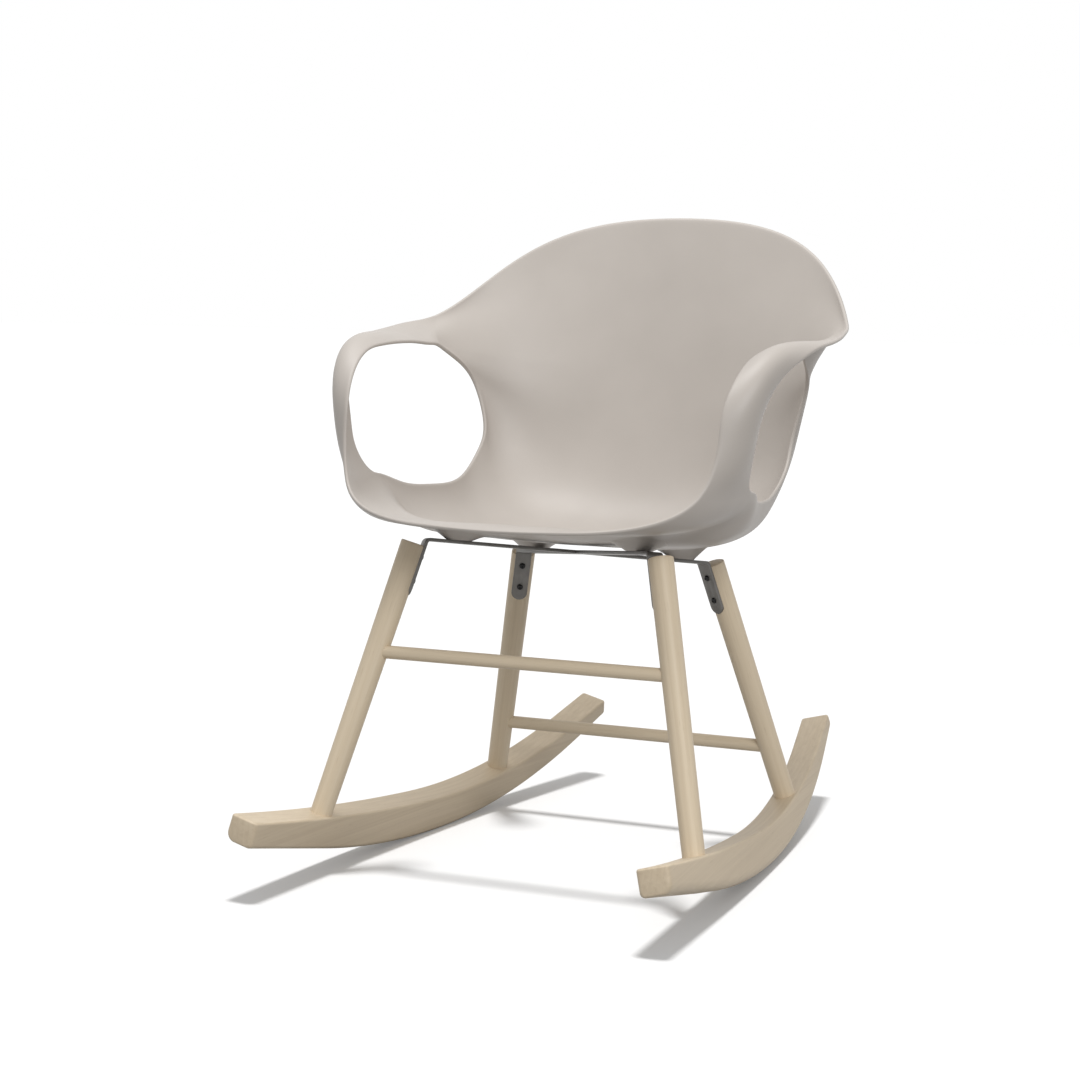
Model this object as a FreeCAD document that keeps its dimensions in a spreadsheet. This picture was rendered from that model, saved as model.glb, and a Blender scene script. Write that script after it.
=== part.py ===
import FreeCAD, Part
import math
import os

Vector = FreeCAD.Vector
Rotation = FreeCAD.Rotation
Placement = FreeCAD.Placement

os.makedirs("parts", exist_ok=True)
doc = FreeCAD.newDocument("RockingChair")

# Driving dimensions, in millimetres and degrees
# x points to the sitter's left, y to the back, z up, and the floor is z = 0.
SIZES = {
    "shell_wall": 5.0,
    "shell_edge_round": 2.4,
    "boss_top_radius": 30.0,
    "boss_foot_radius": 17.0,
    "insert_radius": 4.0,
    "insert_depth": 8.0,
    "bar_width": 20.0,
    "bar_thickness": 4.0,
    "bar_front_height": 397.6,
    "bar_slope": 10.3,
    "bar_bend_radius": 3.0,
    "tab_reach": 62.0,
    "tab_offset": 11.0,
    "leg_top_radius": 15.0,
    "leg_foot_radius": 13.0,
    "leg_sink": 20.0,
    "leg_chamfer": 1.0,
    "stretcher_radius": 8.0,
    "dowel_radius": 5.0,
    "dowel_length": 50.0,
    "dowel_gap": 1.0,
    "rocker_width": 37.5,
    "rocker_toe_in": 6.28,
    "rocker_lean": 13.42,
    "rocker_low_outer_round": 12.0,
    "rocker_low_inner_round": 6.0,
    "rocker_high_round": 3.0,
    "rocker_end_round": 2.5,
    "rocker_front_radius": 1145.0,
    "rocker_rear_radius": 820.0,
    "seat_screw_radius": 3.0,
    "seat_screw_length": 12.0,
    "seat_screw_head_radius": 6.0,
    "seat_screw_head_height": 3.0,
    "seat_screw_key": 2.3,
    "seat_screw_key_depth": 1.8,
    "leg_screw_radius": 2.0,
    "leg_screw_length": 14.0,
    "leg_screw_head_radius": 3.8,
    "leg_screw_head_height": 2.2,
    "leg_screw_key": 1.45,
    "leg_screw_first": 14.0,
    "leg_screw_pitch": 30.0,
    "leg_insert_radius": 3.25,
    "leg_insert_length": 10.0,
    "screw_head_taper": 0.68,
    "screw_key_start": 0.35,
    "hole_clearance": 0.25,
}

sheet = doc.addObject("Spreadsheet::Sheet", "Sizes")
for row, (alias, value) in enumerate(SIZES.items(), start=1):
    sheet.set(f"A{row}", alias)
    sheet.set(f"B{row}", str(value))
    sheet.setAlias(f"B{row}", alias)
doc.recompute()


def size(alias):
    return float(sheet.get(alias))


def add(kind, name, placement=None, **formulas):
    """Adds an object whose sizes follow the sheet, each given as a formula on its cells."""
    item = doc.addObject(kind, name)
    for prop, formula in formulas.items():
        item.setExpression(prop, formula)
    if placement is not None:
        item.Placement = placement
    return item


def fuse(name, pieces):
    item = doc.addObject("Part::MultiFuse", name)
    item.Shapes = pieces
    return item


def cut(name, base, tools):
    """Takes one tool, or several joined into one, away from the base."""
    item = doc.addObject("Part::Cut", name)
    item.Base = base
    item.Tool = tools[0] if len(tools) == 1 else fuse(name + "_tools", tools)
    return item


def mirrored(source, name):
    item = doc.addObject("Part::Mirroring", name)
    item.Source = source
    item.Base = Vector(0, 0, 0)
    item.Normal = Vector(1, 0, 0)
    return item


def group(name, pieces):
    item = doc.addObject("Part::Compound", name)
    item.Links = pieces
    return item


nodes = []


def node(item, label):
    item.Label = label
    nodes.append(item)
    return item


# Seat shell: the moulded bucket
# The bucket is a run of cross sections from the front lip, back over the seat and up the backrest.
# Each section runs from the centre line to the edge: centre (y, z), how far it stays level sideways
# (x), side handle, end handle and edge point (x, y, z). Its other half is the mirror image.
SECTIONS = [
    ("lip", 0.00, (-262, 426), 105, (172, -243.5, 430), (209, -213, 442), (224.6, -194, 468.5)),
    ("front", 0.07, (-240, 430), 112, (186, -193, 413), (229, -141, 426), (238, -146, 463)),
    ("foot", 0.14, (-195, 423), 112, (190, -131, 405), (238, -66, 431), (245.5, -92, 466)),
    ("sill_front", 0.25, (-130, 408), 112, (192, -93, 388), (238, -52, 405), (234, -40, 449.5)),
    ("sill_middle", 0.36, (-60, 393), 112, (184, -22, 380), (221, 9, 401), (222, 20, 442)),
    ("sill_rear", 0.46, (10, 380), 110, (171, 46, 371), (206, 76, 399), (213, 82, 443)),
    ("hip", 0.54, (80, 373), 105, (161, 105, 375), (200, 120, 418), (213, 130, 471)),
    ("rear", 0.61, (141, 380), 98, (168, 156, 400), (213, 158, 454), (211, 146, 504)),
    ("lumbar", 0.68, (190, 416), 94, (168, 197, 454), (217, 179, 512), (221, 151, 544)),
    ("middle", 0.75, (221, 486), 90, (173, 212, 522), (229, 177, 565), (234, 137, 583)),
    ("wing_low", 0.83, (247, 576), 90, (210, 219, 588), (266, 152, 603), (246, 87, 613.6)),
    ("wing_high", 0.915, (272, 677), 105, (212, 247, 666), (274, 180, 636), (268, 113, 630)),
    ("ear", 1.00, (297, 775), 144, (216, 262, 735), (250, 212, 669), (282.5, 140, 648)),
]
FRONT_JOIN = 0.14
REAR_JOIN = 0.83


def through(points, stations):
    """A smooth curve that passes each point at its station."""
    curve = Part.BSplineCurve()
    curve.interpolate(Points=points, Parameters=stations)
    return curve


def even(start, end, steps):
    return [start + (end - start) * step / steps for step in range(steps + 1)]


section_places = [section[1] for section in SECTIONS]
centre_line = through([Vector(0, *section[2]) for section in SECTIONS], section_places)
level_line = through([Vector(section[3], *section[2]) for section in SECTIONS], section_places)
side_line = through([Vector(*section[4]) for section in SECTIONS], section_places)
end_line = through([Vector(*section[5]) for section in SECTIONS], section_places)
edge_line = through([Vector(*section[6]) for section in SECTIONS], section_places)


def bucket_middle(across, along):
    """Middle of the wall: across runs -1 to 1 from edge to edge, along 0 to 1 from lip to top."""
    reach = abs(across)
    handles = [line.value(along) for line in (centre_line, level_line, side_line, end_line, edge_line)]
    point = Vector()
    for order, handle in enumerate(handles):
        weight = math.comb(4, order) * (1 - reach) ** (4 - order) * reach ** order
        point += handle * weight
    if across < 0:
        point.x = -point.x
    return point


def bucket_normal(across, along):
    """Unit normal of the wall, towards the sitter."""
    step = 0.002
    before, after = max(along - step, 0.0), min(along + step, 1.0)
    sideways = bucket_middle(across + step, along) - bucket_middle(across - step, along)
    backwards = bucket_middle(across, after) - bucket_middle(across, before)
    return sideways.cross(backwards).normalize()


def smooth_surface(grid, across_places, along_places):
    """A bicubic surface through a grid of points, grid[across][along]."""
    rows = [through([line[index] for line in grid], across_places).getPoles()
            for index in range(len(along_places))]
    poles = [through([row[index] for row in rows], along_places).getPoles()
             for index in range(len(rows[0]))]
    surface = Part.BSplineSurface()
    ends = [4] + [1] * (len(across_places) - 2) + [4]
    sides = [4] + [1] * (len(along_places) - 2) + [4]
    surface.buildFromPolesMultsKnots(poles, ends, sides, across_places, along_places,
                                     False, False, 3, 3)
    return surface


def band(surface, start, end):
    """The part of a surface between two places along it."""
    part = surface.copy()
    low, high = part.bounds()[:2]
    part.segment(low, high, start, end)
    return part


ACROSS = even(-1, 1, 20)
ALONG = (even(0, FRONT_JOIN, 4) + even(FRONT_JOIN, REAR_JOIN, 18)[1:] + even(REAR_JOIN, 1, 4)[1:])
half_wall = size("shell_wall") / 2

inner_grid = []
outer_grid = []
for across in ACROSS:
    inner_line = []
    outer_line = []
    for along in ALONG:
        middle = bucket_middle(across, along)
        offset = bucket_normal(across, along) * half_wall
        inner_line.append(middle + offset)
        outer_line.append(middle - offset)
    inner_grid.append(inner_line)
    outer_grid.append(outer_line)
inner_surface = smooth_surface(inner_grid, ACROSS, ALONG)
outer_surface = smooth_surface(outer_grid, ACROSS, ALONG)

# Seat shell: the looped arms
# Each arm is a strap with half a twist. Its inner edge starts at the lip's corner and ends at the
# opening's upper rear corner; its outer edge starts at the sill and ends at the ear. So the face
# that the sitter leans on behind comes out as the underside in front.
ARM_INNER_EDGE = [
    (224.6, -194, 468.5), (232, -184.4, 485), (238.5, -173.5, 516), (240, -166, 553),
    (244, -147, 587), (249, -108, 614.5), (251, -60, 622), (252, -10, 623), (250.5, 45, 620),
    (246, 87, 613.6),
]
ARM_OUTER_EDGE = [
    (245.5, -92, 466), (254, -116, 490), (261, -120, 523), (268, -115, 559), (281, -99, 594),
    (295, -70, 615), (303.5, -28, 628), (306, 12, 632), (301.5, 70, 638.5), (282.5, 140, 648),
]
ARM_FRONT_CROWN = 32.0
ARM_REAR_CROWN = -5.0
ARM_WIDTH_PLACES = even(0, 1, 4)
ARM_PLACES = even(0, 1, 12)


def lengths_along(points):
    """Distance of each point along a run of points, from 0 to 1."""
    travelled = [0.0]
    for before, after in zip(points, points[1:]):
        travelled.append(travelled[-1] + (after - before).Length)
    return [distance / travelled[-1] for distance in travelled]


inner_points = [Vector(*point) for point in ARM_INNER_EDGE]
outer_points = [Vector(*point) for point in ARM_OUTER_EDGE]
edge_places = [(one + other) / 2 for one, other in
               zip(lengths_along(inner_points), lengths_along(outer_points))]
arm_inner_line = through(inner_points, edge_places)
arm_outer_line = through(outer_points, edge_places)


def arm_middle(width, along):
    """Middle of the strap: width runs 0 to 1 from its inner to its outer edge, along from the front."""
    inner = arm_inner_line.value(along)
    outer = arm_outer_line.value(along)
    run = arm_inner_line.tangent(along)[0] + arm_outer_line.tangent(along)[0]
    up = (outer - inner).cross(run).normalize()
    crown = ARM_FRONT_CROWN + (ARM_REAR_CROWN - ARM_FRONT_CROWN) * along
    arch = 4 * width * (1 - width) * crown * math.sin(math.pi * along)
    return inner + (outer - inner) * width + up * arch


def arm_normal(width, along):
    """Unit normal of the strap, on the side that carries on the bucket's inner face in front."""
    step = 0.002
    run = arm_middle(width, along + step) - arm_middle(width, along - step)
    outwards = arm_middle(width + step, along) - arm_middle(width - step, along)
    return run.cross(outwards).normalize()


def arm_surface(front_band, rear_band, offset):
    """One face of the strap, which leaves and meets the bucket's faces without a step or a crease."""
    front_poles = front_band.getPoles()
    rear_poles = rear_band.getPoles()
    rows = []
    for along in ARM_PLACES[1:-1]:
        points = [arm_middle(width, along) + arm_normal(width, along) * offset
                  for width in ARM_WIDTH_PLACES]
        rows.append(through(points, ARM_WIDTH_PLACES).getPoles())
    poles = []
    for index in range(len(front_poles[0])):
        start, start_inside = front_poles[-1][index], front_poles[-2][index]
        end, end_inside = rear_poles[-1][index], rear_poles[-2][index]
        column = [start] + [row[index] for row in rows] + [end]
        leave = (start - start_inside).normalize() * (column[1] - column[0]).Length * 12
        arrive = (end_inside - end).normalize() * (column[-1] - column[-2]).Length * 12
        curve = Part.BSplineCurve()
        curve.interpolate(Points=column, Parameters=ARM_PLACES, InitialTangent=leave,
                          FinalTangent=arrive, Scale=False)
        poles.append(curve.getPoles())
    surface = Part.BSplineSurface()
    widths = [4] + [1] * (len(ARM_WIDTH_PLACES) - 2) + [4]
    places = [4] + [1] * (len(ARM_PLACES) - 2) + [4]
    surface.buildFromPolesMultsKnots(poles, widths, places, ARM_WIDTH_PLACES, ARM_PLACES,
                                     False, False, 3, 3)
    return surface


def mirror_surface(surface):
    """The same surface on the sitter's right."""
    copy = surface.copy()
    for row, poles in enumerate(surface.getPoles(), start=1):
        for column, pole in enumerate(poles, start=1):
            copy.setPole(row, column, Vector(-pole.x, pole.y, pole.z))
    return copy


inner_bands = [band(inner_surface, 0, FRONT_JOIN), band(inner_surface, FRONT_JOIN, REAR_JOIN),
               band(inner_surface, REAR_JOIN, 1)]
outer_bands = [band(outer_surface, 0, FRONT_JOIN), band(outer_surface, FRONT_JOIN, REAR_JOIN),
               band(outer_surface, REAR_JOIN, 1)]
arm_upper = arm_surface(inner_bands[0], outer_bands[2], half_wall)
arm_lower = arm_surface(outer_bands[0], inner_bands[2], -half_wall)


# Seat shell: the rounded edges
# The wall's edge is rounded. Each edge face runs from the boundary of one face to that of the other.
def edge_surface(first, second, outwards):
    """A rounded edge between two boundary curves with like poles, pushed outwards in its middle."""
    round_out = size("shell_edge_round") * 4 / 3
    poles = []
    for one, other, way in zip(first.getPoles(), second.getPoles(), outwards):
        poles.append([one, one + way * round_out, other + way * round_out, other])
    surface = Part.BSplineSurface()
    surface.buildFromPolesMultsKnots(poles, first.getMultiplicities(), [4, 4], first.getKnots(),
                                     [0, 1], False, False, 3, 3)
    return surface


def ways_out(inside, edge):
    """Unit vectors in the wall, square to its edge and away from it, one for each pole of the edge."""
    ways = []
    for index, pole in enumerate(edge):
        before, after = edge[max(index - 1, 0)], edge[min(index + 1, len(edge) - 1)]
        along = (after - before).normalize()
        way = pole - inside[index]
        ways.append((way - along * way.dot(along)).normalize())
    return ways


def column(surface, index):
    return [row[index] for row in surface.getPoles()]


def share(first, second):
    """Gives two edge faces that meet the same way out there; each is named by its list and index."""
    (one, one_index), (other, other_index) = first, second
    way = (one[one_index] + other[other_index]).normalize()
    one[one_index] = way
    other[other_index] = way


def flip(vector):
    return Vector(-vector.x, vector.y, vector.z)


def edge_surfaces():
    inner_front, inner_main, inner_rear = inner_bands
    outer_front, outer_main, outer_rear = outer_bands
    lip_ways = ways_out(column(inner_front, 1), column(inner_front, 0))
    top_ways = ways_out(column(inner_rear, -2), column(inner_rear, -1))
    sill_ways = ways_out(inner_main.getPoles()[-2], inner_main.getPoles()[-1])
    arm_poles = arm_upper.getPoles()
    inner_ways = ways_out(arm_poles[1], arm_poles[0])
    outer_ways = ways_out(arm_poles[-2], arm_poles[-1])
    share((lip_ways, -1), (inner_ways, 0))
    share((top_ways, -1), (outer_ways, -1))
    share((sill_ways, 0), (outer_ways, 0))
    share((sill_ways, -1), (inner_ways, -1))
    lip_ways[0] = flip(lip_ways[-1])
    top_ways[0] = flip(top_ways[-1])
    middles = [
        edge_surface(inner_front.vIso(0), outer_front.vIso(0), lip_ways),
        edge_surface(inner_rear.vIso(1), outer_rear.vIso(1), top_ways),
    ]
    sides = [
        edge_surface(inner_main.uIso(1), outer_main.uIso(1), sill_ways),
        edge_surface(arm_upper.uIso(0), arm_lower.uIso(0), inner_ways),
        edge_surface(arm_upper.uIso(1), arm_lower.uIso(1), outer_ways),
    ]
    return middles + sides + [mirror_surface(side) for side in sides]


surfaces = inner_bands + outer_bands + edge_surfaces()
for face in (arm_upper, arm_lower):
    surfaces += [face, mirror_surface(face)]
skin = Part.makeShell([surface.toShape() for surface in surfaces])
skin.sewShape()
shell_body = Part.makeSolid(Part.Shell(skin.Faces))
if shell_body.Volume < 0:
    shell_body.reverse()

# Under the seat: the crossed bars' plane
# Two flat bars cross under the seat. Their plane falls towards the back, as the seat does. Each bar
# runs from a front leg to the opposite rear leg, and its ends are bent down as tabs against the legs.
# A leg is given by the middle of its foot on the rocker and the middle of its flat-cut top.
LEGS = {
    "front": {"foot": (239, -238, 73.5), "head": (159.9, -148.5, 392), "turn": 141.0},
    "rear": {"foot": (202.6, 162, 53.4), "head": (129.3, 91.1, 354), "turn": 242.0},
}


def leg_frame(name):
    """Origin at the leg's top, z up the leg, x square to it and towards the tab."""
    foot, head = Vector(*LEGS[name]["foot"]), Vector(*LEGS[name]["head"])
    up = (head - foot).normalize()
    turn = math.radians(LEGS[name]["turn"])
    inwards = Vector(math.cos(turn), math.sin(turn), 0)
    inwards = (inwards - up * inwards.dot(up)).normalize()
    return Placement(head, Rotation(inwards, up.cross(inwards), up, "ZXY"))


def leg_length(name):
    return (Vector(*LEGS[name]["head"]) - Vector(*LEGS[name]["foot"])).Length


def at(frame, x, y, z, turned=Rotation()):
    """A placement at a point of a leg's own frame."""
    return frame * Placement(Vector(x, y, z), turned)


slope = math.radians(size("bar_slope"))
bar_up = Vector(0, math.sin(slope), math.cos(slope))
front_leg = leg_frame("front")
rear_leg = leg_frame("rear")
tab_middle = size("tab_offset") + size("bar_thickness") / 2


def on_bar_plane(frame):
    """Where the middle line of a tab, carried up the leg, meets the bars' top plane."""
    start = frame.multVec(Vector(tab_middle, 0, 0))
    up = frame.Rotation.multVec(Vector(0, 0, 1))
    return start + up * ((bar_top - start).dot(bar_up) / up.dot(bar_up))


bar_top = Vector(0, front_leg.multVec(Vector(tab_middle, 0, 0)).y, size("bar_front_height"))
front_bend = on_bar_plane(front_leg)
rear_bend = flip(on_bar_plane(rear_leg))
bar_way = (rear_bend - front_bend).normalize()
bar_side = bar_up.cross(bar_way)
bar_length = (rear_bend - front_bend).Length

# Seat shell: the four bosses
# A short cone under the seat at each seat screw, with a blind hole for its threaded insert.
SEAT_SCREW_SHARES = [0.115, 0.92]
BOSS_HEIGHT = 40.0
BOSS_WIDENING = 3
UNDER_SEAT_DEPTH = 120
UNDER_SEAT_END = 0.64
seat_screws = [front_bend + bar_way * bar_length * share_along for share_along in SEAT_SCREW_SHARES]
seat_screws += [flip(place) for place in seat_screws]

middle_grid = [[bucket_middle(across, along) for along in ALONG] for across in ACROSS]
seat_middle = band(smooth_surface(middle_grid, ACROSS, ALONG), FRONT_JOIN, UNDER_SEAT_END)
under_seat = seat_middle.toShape().extrude(Vector(0, 0, -UNDER_SEAT_DEPTH))
bosses = []
insert_holes = []
flare = size("boss_top_radius") - size("boss_foot_radius")
boss_wide = size("boss_foot_radius") + BOSS_WIDENING * flare
for place in seat_screws:
    boss = Part.makeCone(size("boss_foot_radius"), boss_wide, BOSS_HEIGHT, place, bar_up)
    bosses.append(boss.common(under_seat))
    insert_holes.append(Part.makeCylinder(size("insert_radius"), size("insert_depth"), place, bar_up))
shell_body = shell_body.fuse(bosses).removeSplitter()
shell_body = shell_body.cut(insert_holes)
node(doc.addObject("Part::Feature", "SeatShell"), "seat_shell").Shape = shell_body.Solids[0]


# Rockers
# A rocker is a curved wooden runner. Both toe in towards the front and lean out at the top, so that
# each runner lies in the plane of its two legs. Its outline is drawn in that plane, with s along the
# runner to the back and the second number up from the runner's origin.
ROCKER_ORIGIN = Vector(232.5, 0, -1.25)
ROCKER_TIP = (-389.5, 101.8)
ROCKER_TOP_START = -10.8
ROCKER_TOP_RUNS = [(371, 6.2), (351, 22.5), (74, 0)]
ROCKER_LOW = (23, 4.5)
ROCKER_FRONT_TURN = 13
ROCKER_REAR_TURN = 23

lean = math.radians(size("rocker_lean"))
toe_in = math.radians(size("rocker_toe_in"))
rocker_along = Vector(-math.sin(toe_in), math.cos(toe_in), 0)
level_out = Vector(math.cos(toe_in), math.sin(toe_in), 0)
rocker_high = Vector(0, 0, 1) * math.cos(lean) - level_out * math.sin(lean)
rocker_in = rocker_high.cross(rocker_along)
rocker_frame = Placement(ROCKER_ORIGIN, Rotation(rocker_along, rocker_in, rocker_high, "ZXY"))


def heading(degrees):
    return Vector(math.cos(math.radians(degrees)), math.sin(math.radians(degrees)), 0)


def run_on(start, start_heading, length, turn):
    """One run of an outline, straight or an arc that leaves along its heading, and where it ends."""
    if turn == 0:
        end = start + heading(start_heading) * length
        return Part.LineSegment(start, end), end
    radius = length / math.radians(turn)
    centre = start + heading(start_heading + 90) * radius
    halfway = centre + heading(start_heading - 90 + turn / 2) * radius
    end = centre + heading(start_heading - 90 + turn) * radius
    return Part.Arc(start, halfway, end), end


def meet(point, way, other, other_way):
    """Where a line from one point meets a line from another, in the sketch's plane."""
    across = Vector(-other_way.y, other_way.x, 0)
    return point + way * ((other - point).dot(across) / way.dot(across))


def rocker_outline():
    """The runner's outline: its top as runs from the front tip, its underside from the low point."""
    top = []
    tip = place = Vector(*ROCKER_TIP, 0)
    top_heading = ROCKER_TOP_START
    for length, turn in ROCKER_TOP_RUNS:
        piece, place = run_on(place, top_heading, length, turn)
        top.append(piece)
        top_heading += turn
    tail = place
    low = Vector(*ROCKER_LOW, 0)
    rear_length = size("rocker_rear_radius") * math.radians(ROCKER_REAR_TURN)
    rear_arc, rear_end = run_on(low, 0, rear_length, ROCKER_REAR_TURN)
    front_length = size("rocker_front_radius") * math.radians(ROCKER_FRONT_TURN)
    front_arc, front_end = run_on(low, 180, front_length, -ROCKER_FRONT_TURN)
    tail_corner = meet(tail, heading(top_heading - 90), rear_end, heading(ROCKER_REAR_TURN))
    tip_corner = meet(tip, heading(ROCKER_TOP_START - 90), front_end, heading(180 - ROCKER_FRONT_TURN))
    under = [rear_arc, Part.LineSegment(rear_end, tail_corner), front_arc,
             Part.LineSegment(front_end, tip_corner)]
    ends = [Part.LineSegment(tail, tail_corner), Part.LineSegment(tip, tip_corner)]
    return top, under, ends


def plane_of(body, role):
    return next(item for item in body.Origin.OriginFeatures if item.Role == role)


NEAR = 0.01


def edges_near(shape, spots):
    """Names of the edges whose middle lies at one of these spots."""
    names = []
    for number, edge in enumerate(shape.Edges, start=1):
        middle = edge.valueAt((edge.FirstParameter + edge.LastParameter) / 2)
        if any((middle - spot).Length < NEAR for spot in spots):
            names.append(f"Edge{number}")
    return names


def edges_round_faces(shape, spots):
    """Names of all the edges of the flat faces that hold these spots."""
    names = []
    for face in shape.Faces:
        if any(face.distToShape(Part.Vertex(spot))[0] < NEAR for spot in spots):
            for edge in face.Edges:
                names += [f"Edge{number}" for number, other in enumerate(shape.Edges, start=1)
                          if other.isSame(edge)]
    return names


def middles(curves, side):
    """Middles of outline curves, carried sideways by this much."""
    spots = []
    for curve in curves:
        middle = curve.value((curve.FirstParameter + curve.LastParameter) / 2)
        spots.append(Vector(middle.x, side, middle.y))
    return spots


def round_edges(body, name, base, edge_names, radius):
    feature = body.newObject("PartDesign::Fillet", name)
    feature.Base = (base, edge_names)
    feature.setExpression("Radius", radius)
    doc.recompute()
    return feature


def make_rocker():
    body = doc.addObject("PartDesign::Body", "RockerBody")
    sketch = body.newObject("Sketcher::SketchObject", "RockerOutline")
    sketch.AttachmentSupport = (plane_of(body, "XZ_Plane"), "")
    sketch.MapMode = "FlatFace"
    top, under, ends = rocker_outline()
    sketch.addGeometry(top + under + ends)
    pad = body.newObject("PartDesign::Pad", "RockerPad")
    pad.Profile = sketch
    pad.Midplane = True
    pad.setExpression("Length", "Sizes.rocker_width")
    doc.recompute()
    inner, outer = size("rocker_width") / 2, -size("rocker_width") / 2
    shape = round_edges(body, "RockerOuterRound", pad, edges_near(pad.Shape, middles(under, outer)),
                        "Sizes.rocker_low_outer_round")
    shape = round_edges(body, "RockerInnerRound", shape,
                        edges_near(shape.Shape, middles(under, inner)),
                        "Sizes.rocker_low_inner_round")
    shape = round_edges(body, "RockerHighRound", shape,
                        edges_near(shape.Shape, middles(top, inner) + middles(top, outer)),
                        "Sizes.rocker_high_round")
    shape = round_edges(body, "RockerEndRound", shape,
                        edges_round_faces(shape.Shape, middles(ends, 0)),
                        "Sizes.rocker_end_round")
    body.Placement = rocker_frame
    return body


rocker_body = make_rocker()
doc.recompute()

# Stretchers
# Two round bars run straight across between the legs, one high in front and one low behind. Their
# ends are glued into blind holes in the legs.
STRETCHERS = {"front": (189.8, -184.6, 263.4), "rear": (184.9, 146.8, 117.8)}
stretchers = {}
for name, (reach, back, high) in STRETCHERS.items():
    lie_across = Placement(Vector(-reach, back, high), Rotation(Vector(0, 1, 0), 90))
    stretcher = add("Part::Cylinder", f"{name}_stretcher_rod", lie_across,
                    Radius="Sizes.stretcher_radius")
    stretcher.Height = 2 * reach
    stretchers[name] = node(stretcher, f"{name}_stretcher")

# Legs, with what joins each to its rocker and its bar
# A leg is turned, slightly thicker at its top. It has a milled slot with a round run-out for the
# bar's tab, two threaded inserts in the slot, a hole for the stretcher and one for the dowel in its
# foot, and its foot is cut to the rocker's top.
leg_pieces = {}
for name in LEGS:
    frame = leg_frame(name)
    length = leg_length(name)
    foot = at(frame, 0, 0, -length - size("leg_sink"))
    cone = add("Part::Cone", f"{name}_leg_taper", foot, Radius1="Sizes.leg_foot_radius",
               Radius2="Sizes.leg_top_radius")
    cone.Height = length + size("leg_sink") - size("leg_chamfer")
    rim = add("Part::Cone", f"{name}_leg_rim", at(frame, 0, 0, -size("leg_chamfer")),
              Radius1="Sizes.leg_top_radius", Radius2="Sizes.leg_top_radius - Sizes.leg_chamfer",
              Height="Sizes.leg_chamfer")
    blank = fuse(f"{name}_leg_blank", [cone, rim])

    slot_turn = Rotation(Vector(0, 1, 0), 90)
    slot_low = size("bar_width") / 2 - size("tab_reach")
    slot_end = add("Part::Cylinder", f"{name}_leg_slot_end",
                   at(frame, size("tab_offset"), 0, slot_low, slot_turn),
                   Radius="Sizes.bar_width / 2 + Sizes.hole_clearance", Height="Sizes.leg_top_radius")
    slot_run = add("Part::Box", f"{name}_leg_slot_run",
                   at(frame, size("tab_offset"), -size("bar_width") / 2 - size("hole_clearance"), slot_low),
                   Length="Sizes.leg_top_radius", Width="Sizes.bar_width + 2 * Sizes.hole_clearance",
                   Height="Sizes.tab_reach")
    dowel_hole = add("Part::Cylinder", f"{name}_dowel_hole",
                     at(frame, 0, 0, -length - size("dowel_length") / 2 - size("dowel_gap")),
                     Radius="Sizes.dowel_radius", Height="Sizes.dowel_length + 2 * Sizes.dowel_gap")
    dowel = add("Part::Cylinder", f"{name}_dowel",
                at(frame, 0, 0, -length - size("dowel_length") / 2),
                Radius="Sizes.dowel_radius", Height="Sizes.dowel_length")

    inserts = []
    insert_beds = []
    screws = []
    for turn in range(2):
        down = -size("leg_screw_first") - turn * size("leg_screw_pitch")
        tag = f"{name}_{'upper' if turn == 0 else 'lower'}"
        bed = at(frame, size("tab_offset") - size("leg_insert_length"), 0, down, slot_turn)
        insert_beds.append(add("Part::Cylinder", f"{tag}_insert_bed", bed,
                               Radius="Sizes.leg_insert_radius", Height="Sizes.leg_insert_length"))
        sleeve = add("Part::Cylinder", f"{tag}_insert_sleeve", bed,
                     Radius="Sizes.leg_insert_radius", Height="Sizes.leg_insert_length")
        bore = add("Part::Cylinder", f"{tag}_insert_bore", bed,
                   Radius="Sizes.leg_screw_radius", Height="Sizes.leg_insert_length")
        inserts.append(cut(f"{tag}_insert", sleeve, [bore]))
        head_bed = size("tab_offset") + size("bar_thickness")
        shank = add("Part::Cylinder", f"{tag}_screw_shank",
                    at(frame, head_bed - size("leg_screw_length"), 0, down, slot_turn),
                    Radius="Sizes.leg_screw_radius", Height="Sizes.leg_screw_length")
        head = add("Part::Cone", f"{tag}_screw_head", at(frame, head_bed, 0, down, slot_turn),
                   Radius1="Sizes.leg_screw_head_radius",
                   Radius2="Sizes.screw_head_taper * Sizes.leg_screw_head_radius",
                   Height="Sizes.leg_screw_head_height")
        key_bed = head_bed + size("leg_screw_head_height") * size("screw_key_start")
        key = add("Part::Prism", f"{tag}_screw_key", at(frame, key_bed, 0, down, slot_turn),
                  Circumradius="Sizes.leg_screw_key", Height="Sizes.leg_screw_head_height")
        key.Polygon = 6
        screws.append(cut(f"{tag}_screw", fuse(f"{tag}_screw_blank", [shank, head]), [key]))
    leg = cut(f"{name}_leg", blank, [rocker_body, stretchers[name], slot_end, slot_run, dowel_hole]
              + insert_beds)
    leg_pieces[name] = {
        "leg": leg,
        "dowel": dowel,
        "dowel_hole": dowel_hole,
        "leg_inserts": group(f"{name}_leg_inserts", inserts),
        "tab_screws": group(f"{name}_tab_screws", screws),
    }

rocker = cut("Rocker", rocker_body, [leg_pieces[name]["dowel_hole"] for name in LEGS])
node(rocker, "rocker_left")
node(mirrored(rocker, "RockerMirror"), "rocker_right")
for name, pieces in leg_pieces.items():
    for role in ("leg", "dowel", "leg_inserts", "tab_screws"):
        node(pieces[role], f"{name}_{role}_left")
        node(mirrored(pieces[role], f"{name}_{role}_mirror"), f"{name}_{role}_right")


# Crossed bars
# Each bar is a flat steel strip, folded down at both ends. It lies under two bosses of the seat. The
# two bars cross in the middle, where each is notched to half its thickness.
def flat_piece(corners, way):
    return Part.Face(Part.makePolygon(corners + corners[:1])).extrude(way)


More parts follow.
